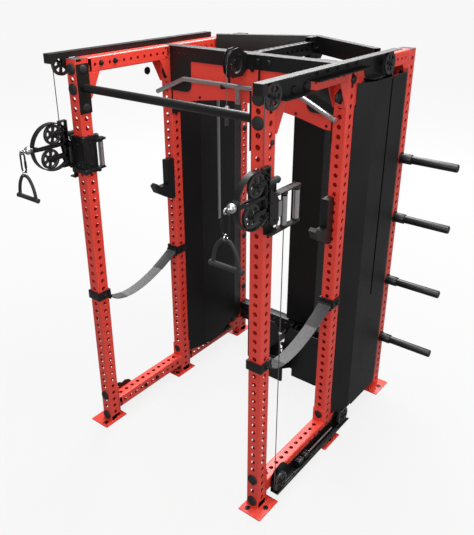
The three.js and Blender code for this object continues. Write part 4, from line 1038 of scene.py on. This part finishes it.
# ---- Low row station ----
def build_low_row():
    body, bolts = Part(), Part()
    y0 = 2 * BAY
    end = POST_IN - 0.6
    holes = [50.0 * (i + 0.5) for i in range(int(2 * end / 50))]
    for z in (181, 249):
        drilled_tube(body, (-end, y0 + TUBE / 2, z), (1, 0, 0), 2 * end, holes, faces=(0, 2), width=TUBE, depth=68,
                     pitch=50, hole_r=10)
    for side in (-1, 1):
        body.box(side * end, side * (end - 6), y0, y0 + TUBE, 147, 283, 1.5)
    plate = [(92, 0.5), (284, 0.5), (296, 5), (300, 16), (300, 378), (290, 390), (66, 390), (58, 384), (28, 320),
             (5, 170), (0, 162), (-5, 170), (-28, 320), (-58, 384), (-66, 390), (-290, 390), (-300, 378),
             (-300, 16), (-296, 5), (-284, 0.5), (-92, 0.5), (-92, 60), (92, 60)]
    body.prism(plate, 1140, 1145, "XZ", 1)
    toe = [(-66, 0.5), (66, 0.5), (78, 8), (80, 20), (80, 182), (72, 190), (-72, 190), (-80, 182), (-80, 20), (-78, 8)]
    body.prism(toe, 1036, 1041, "XZ", 1)
    for side in (-1, 1):
        def pair(a, b):
            return min(side * a, side * b), max(side * a, side * b)
        body.prism([(1040, 111), (1140, 64), (1140, 188), (1040, 188)], *pair(75, 80))
        body.prism([(1143, 152), (y0, 152), (y0, 214), (1143, 214)], *pair(90, 96))
        guard = [(1286, 168), (y0, 168), (y0, 222), (1362, 286), (1352, 306), (1334, 312), (1308, 310), (1286, 298),
                 (1276, 280), (1276, 190)]
        body.prism(guard, *pair(14, 19))
        bolts.hex_bolt((side * 19, 1335, 245), (side, 0, 0), 19)
        for y in (1150, 1340):
            bolts.hex_bolt((side * 96, y + 8, 183), (side, 0, 0), 15)
        for x, z in ((250, 60), (250, 330), (120, 330), (120, 100)):
            bolts.turned([(0, 0), (9, 0), (8, 3), (0, 4)], (side * x, 1139.8, z), (0, -1, 0), 18)
    wheel = Part()
    spoked_pulley(wheel, 0, 1335, 245, 36, 30, 18, 5, 11)
    line, ring = Part(), Part()
    tail = [(0, 1300, 216), (0, 1200, 226), (0, 1150, 232)]
    line.sweep(at_x(0, arc(1335, 245, 31, 10, -90, 10)) + tail, CABLE_R, 10)
    ring.ball((0, 1152, 232), 15, 20, 12)
    ring.sweep([(20 * math.cos(a), 1128, 226 + 24 * math.sin(a)) for a in (2 * math.pi * i / 28 for i in range(29))],
               3.6, 10, closed_ends=False)
    body.build("low_row_frame", BLACK, "frame", 1, "black_frame", ["low_row_station"])
    bolts.build("low_row_bolts", BOLT, "frame", 1, "black_frame")
    wheel.build("low_row_sheave", PULLEY, "frame", 1, "pulley")
    line.build("low_row_cable", CABLE, "frame", 1, "cable")
    ring.build("low_row_ring", BOLT, "frame", 1, "black_frame")


build_low_row()


# ---- Cables: the runs by the trolley and the handle are pieces of their own, on no body ----
def build_cables():
    big, small, hidden = 52.7, 50.2, 45.0
    rise_y, top_rear_y, top_z, low_z = 109.3, 1042.0, 2255.0, 108.0
    stack_y = top_rear_y + big - hidden
    return_y = stack_y - 2 * hidden
    rear_y = return_y - hidden - big

    def wrap(y, z, radius, first, last):
        return at_x(CABLE_X, arc(y, z, radius, first, last, max(4, round(abs(last - first) / 9))))

    def run(name, path, body, side, replaced=()):
        piece = Part()
        piece.sweep(path, CABLE_R, 10)
        return piece.build(name, CABLE, body, side, "cable", replaced)

    def stretch(name, low, high, side, bodies):
        """A straight run between two points; bodies is not used, and the run rides no body."""
        piece = Part()
        piece.sweep([tuple(low[i] + (high[i] - low[i]) * k / 24 for i in range(3)) for k in range(25)], CABLE_R, 10)
        made = piece.build(name, CABLE, None, side, "cable")
        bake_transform(made)

    upper_z = BALL_Z + small
    entry_z = 1962.0
    for label, side in SIDES.items():
        run(f"cable_frame_run_{label}",
            wrap(SWIVEL_Y + big, top_z, big, 180, 90) + wrap(top_rear_y, top_z, big, 90, 0)
            + wrap(stack_y, 1063, hidden, 0, -180) + wrap(return_y, 2148, hidden, 0, 180)
            + wrap(rear_y, low_z, big, 0, -90) + wrap(rise_y + big, low_z, big, -90, -180),
            "frame", side, [f"cable_{label}"])
        run(f"cable_over_head_wheel_{label}",
            wrap(SWIVEL_Y - small, upper_z, small, -90, 0) + [(CABLE_X, SWIVEL_Y, entry_z)], f"head_{label}", side)
        stretch(f"cable_pull_{label}", (CABLE_X, SWIVEL_Y - small, BALL_Z), (CABLE_X, -244, BALL_Z), side,
                (f"head_{label}", f"pull_{label}"))
        stretch(f"cable_drop_{label}", (CABLE_X, SWIVEL_Y, top_z), (CABLE_X, SWIVEL_Y, entry_z), side,
                ("frame", f"trolley_{label}"))
        stretch(f"cable_rise_{label}", (CABLE_X, rise_y, low_z), (CABLE_X, rise_y, 1653), side,
                ("frame", f"trolley_{label}"))


build_cables()


# ---- Materials on the CAD nodes that stay ----
KEPT = {
    "black_frame": BLACK, "black_sheet": SHEET, "red_frame": RED, "bright_steel": STEEL, "cable": CABLE,
    "weight_plates": IRON, "webbing": WEBBING, "handle_rubber": RUBBER, "pulley": PULLEY,
}
slot_of = {entry["node"]: entry["material_slot"] for entry in frame["record"]["subparts"]}
for name, node in frame["nodes"].items():
    node.data.materials.clear()
    node.data.materials.append(KEPT[slot_of[name]])


# ---- Studio ----
def build_studio():
    floor_shader = Shader("studio_floor", 1.0, Specular_IOR_Level=0.0, Emission_Color=(1, 1, 1, 1))
    pale, paler = (0.05, 0.05, 0.05), (0.055, 0.055, 0.055)
    floor_shader.colour(floor_shader.ramp(floor_shader.noise(0.4, 2), [(0.2, pale), (0.8, paler)]))
    # Painted light: the floor glows. To the camera the glow rises from 0.84 to 0.92 with distance from the origin, so
    # the far floor, which the lamps reach less, looks as bright as the lit floor near the machine. To all other rays it
    # glows at 0.22.
    away = floor_shader.nodes.new("ShaderNodeVectorMath")
    away.operation = "LENGTH"
    floor_shader.links.new(floor_shader.coords, away.inputs[0])
    shade = floor_shader.node("ShaderNodeMapRange", From_Min=1.6, From_Max=6.0, To_Min=0.84, To_Max=0.92)
    floor_shader.links.new(away.outputs["Value"], shade.inputs["Value"])
    glow = floor_shader.node("ShaderNodeMapRange", To_Min=0.22)
    floor_shader.links.new(shade.outputs["Result"], glow.inputs["To Max"])
    floor_shader.links.new(floor_shader.node("ShaderNodeLightPath").outputs["Is Camera Ray"], glow.inputs["Value"])
    floor_shader.links.new(glow.outputs["Result"], floor_shader.surface.inputs["Emission Strength"])
    floor = bpy.data.meshes.new("studio_floor")
    reach = 40
    corners = [(-reach, -reach, 0), (reach, -reach, 0), (reach, reach, 0), (-reach, reach, 0)]
    floor.from_pydata(corners, [], [[0, 1, 2, 3]])
    floor.materials.append(floor_shader.material)
    ground = bpy.data.objects.new("studio_floor", floor)
    bpy.context.collection.objects.link(ground)

    world = bpy.data.worlds.new("studio")
    bpy.context.scene.world = world
    world.use_nodes = True
    tree = world.node_tree
    tree.nodes["Background"].inputs["Color"].default_value = (1, 1, 1, 1)
    seen = tree.nodes.new("ShaderNodeMapRange")
    seen.inputs["To Min"].default_value = 0.22
    seen.inputs["To Max"].default_value = 0.93
    tree.links.new(tree.nodes.new("ShaderNodeLightPath").outputs["Is Camera Ray"], seen.inputs["Value"])
    tree.links.new(seen.outputs["Result"], tree.nodes["Background"].inputs["Strength"])

    def area(name, place, aim, size, power):
        light = bpy.data.lights.new(name, "AREA")
        light.energy = power
        light.size = size
        lamp = bpy.data.objects.new(name, light)
        lamp.location = place
        lamp.rotation_euler = (Vector(aim) - Vector(place)).to_track_quat("-Z", "Y").to_euler()
        bpy.context.collection.objects.link(lamp)

    area("overhead", (0.6, 0.4, 5.6), (0, 0, 1), 4.0, 380)
    area("sheen", (-2.0, 4.2, 6.4), (0, 0, 0.6), 4.0, 700)
    area("key", (2.4, -4.4, 3.4), (0, 0, 1.1), 2.6, 125)
    area("fill", (4.8, 0.6, 2.4), (0, 0, 1), 2.6, 48)
    bpy.context.scene.view_settings.view_transform = "Standard"
    bpy.context.scene.view_settings.look = "None"


build_studio()
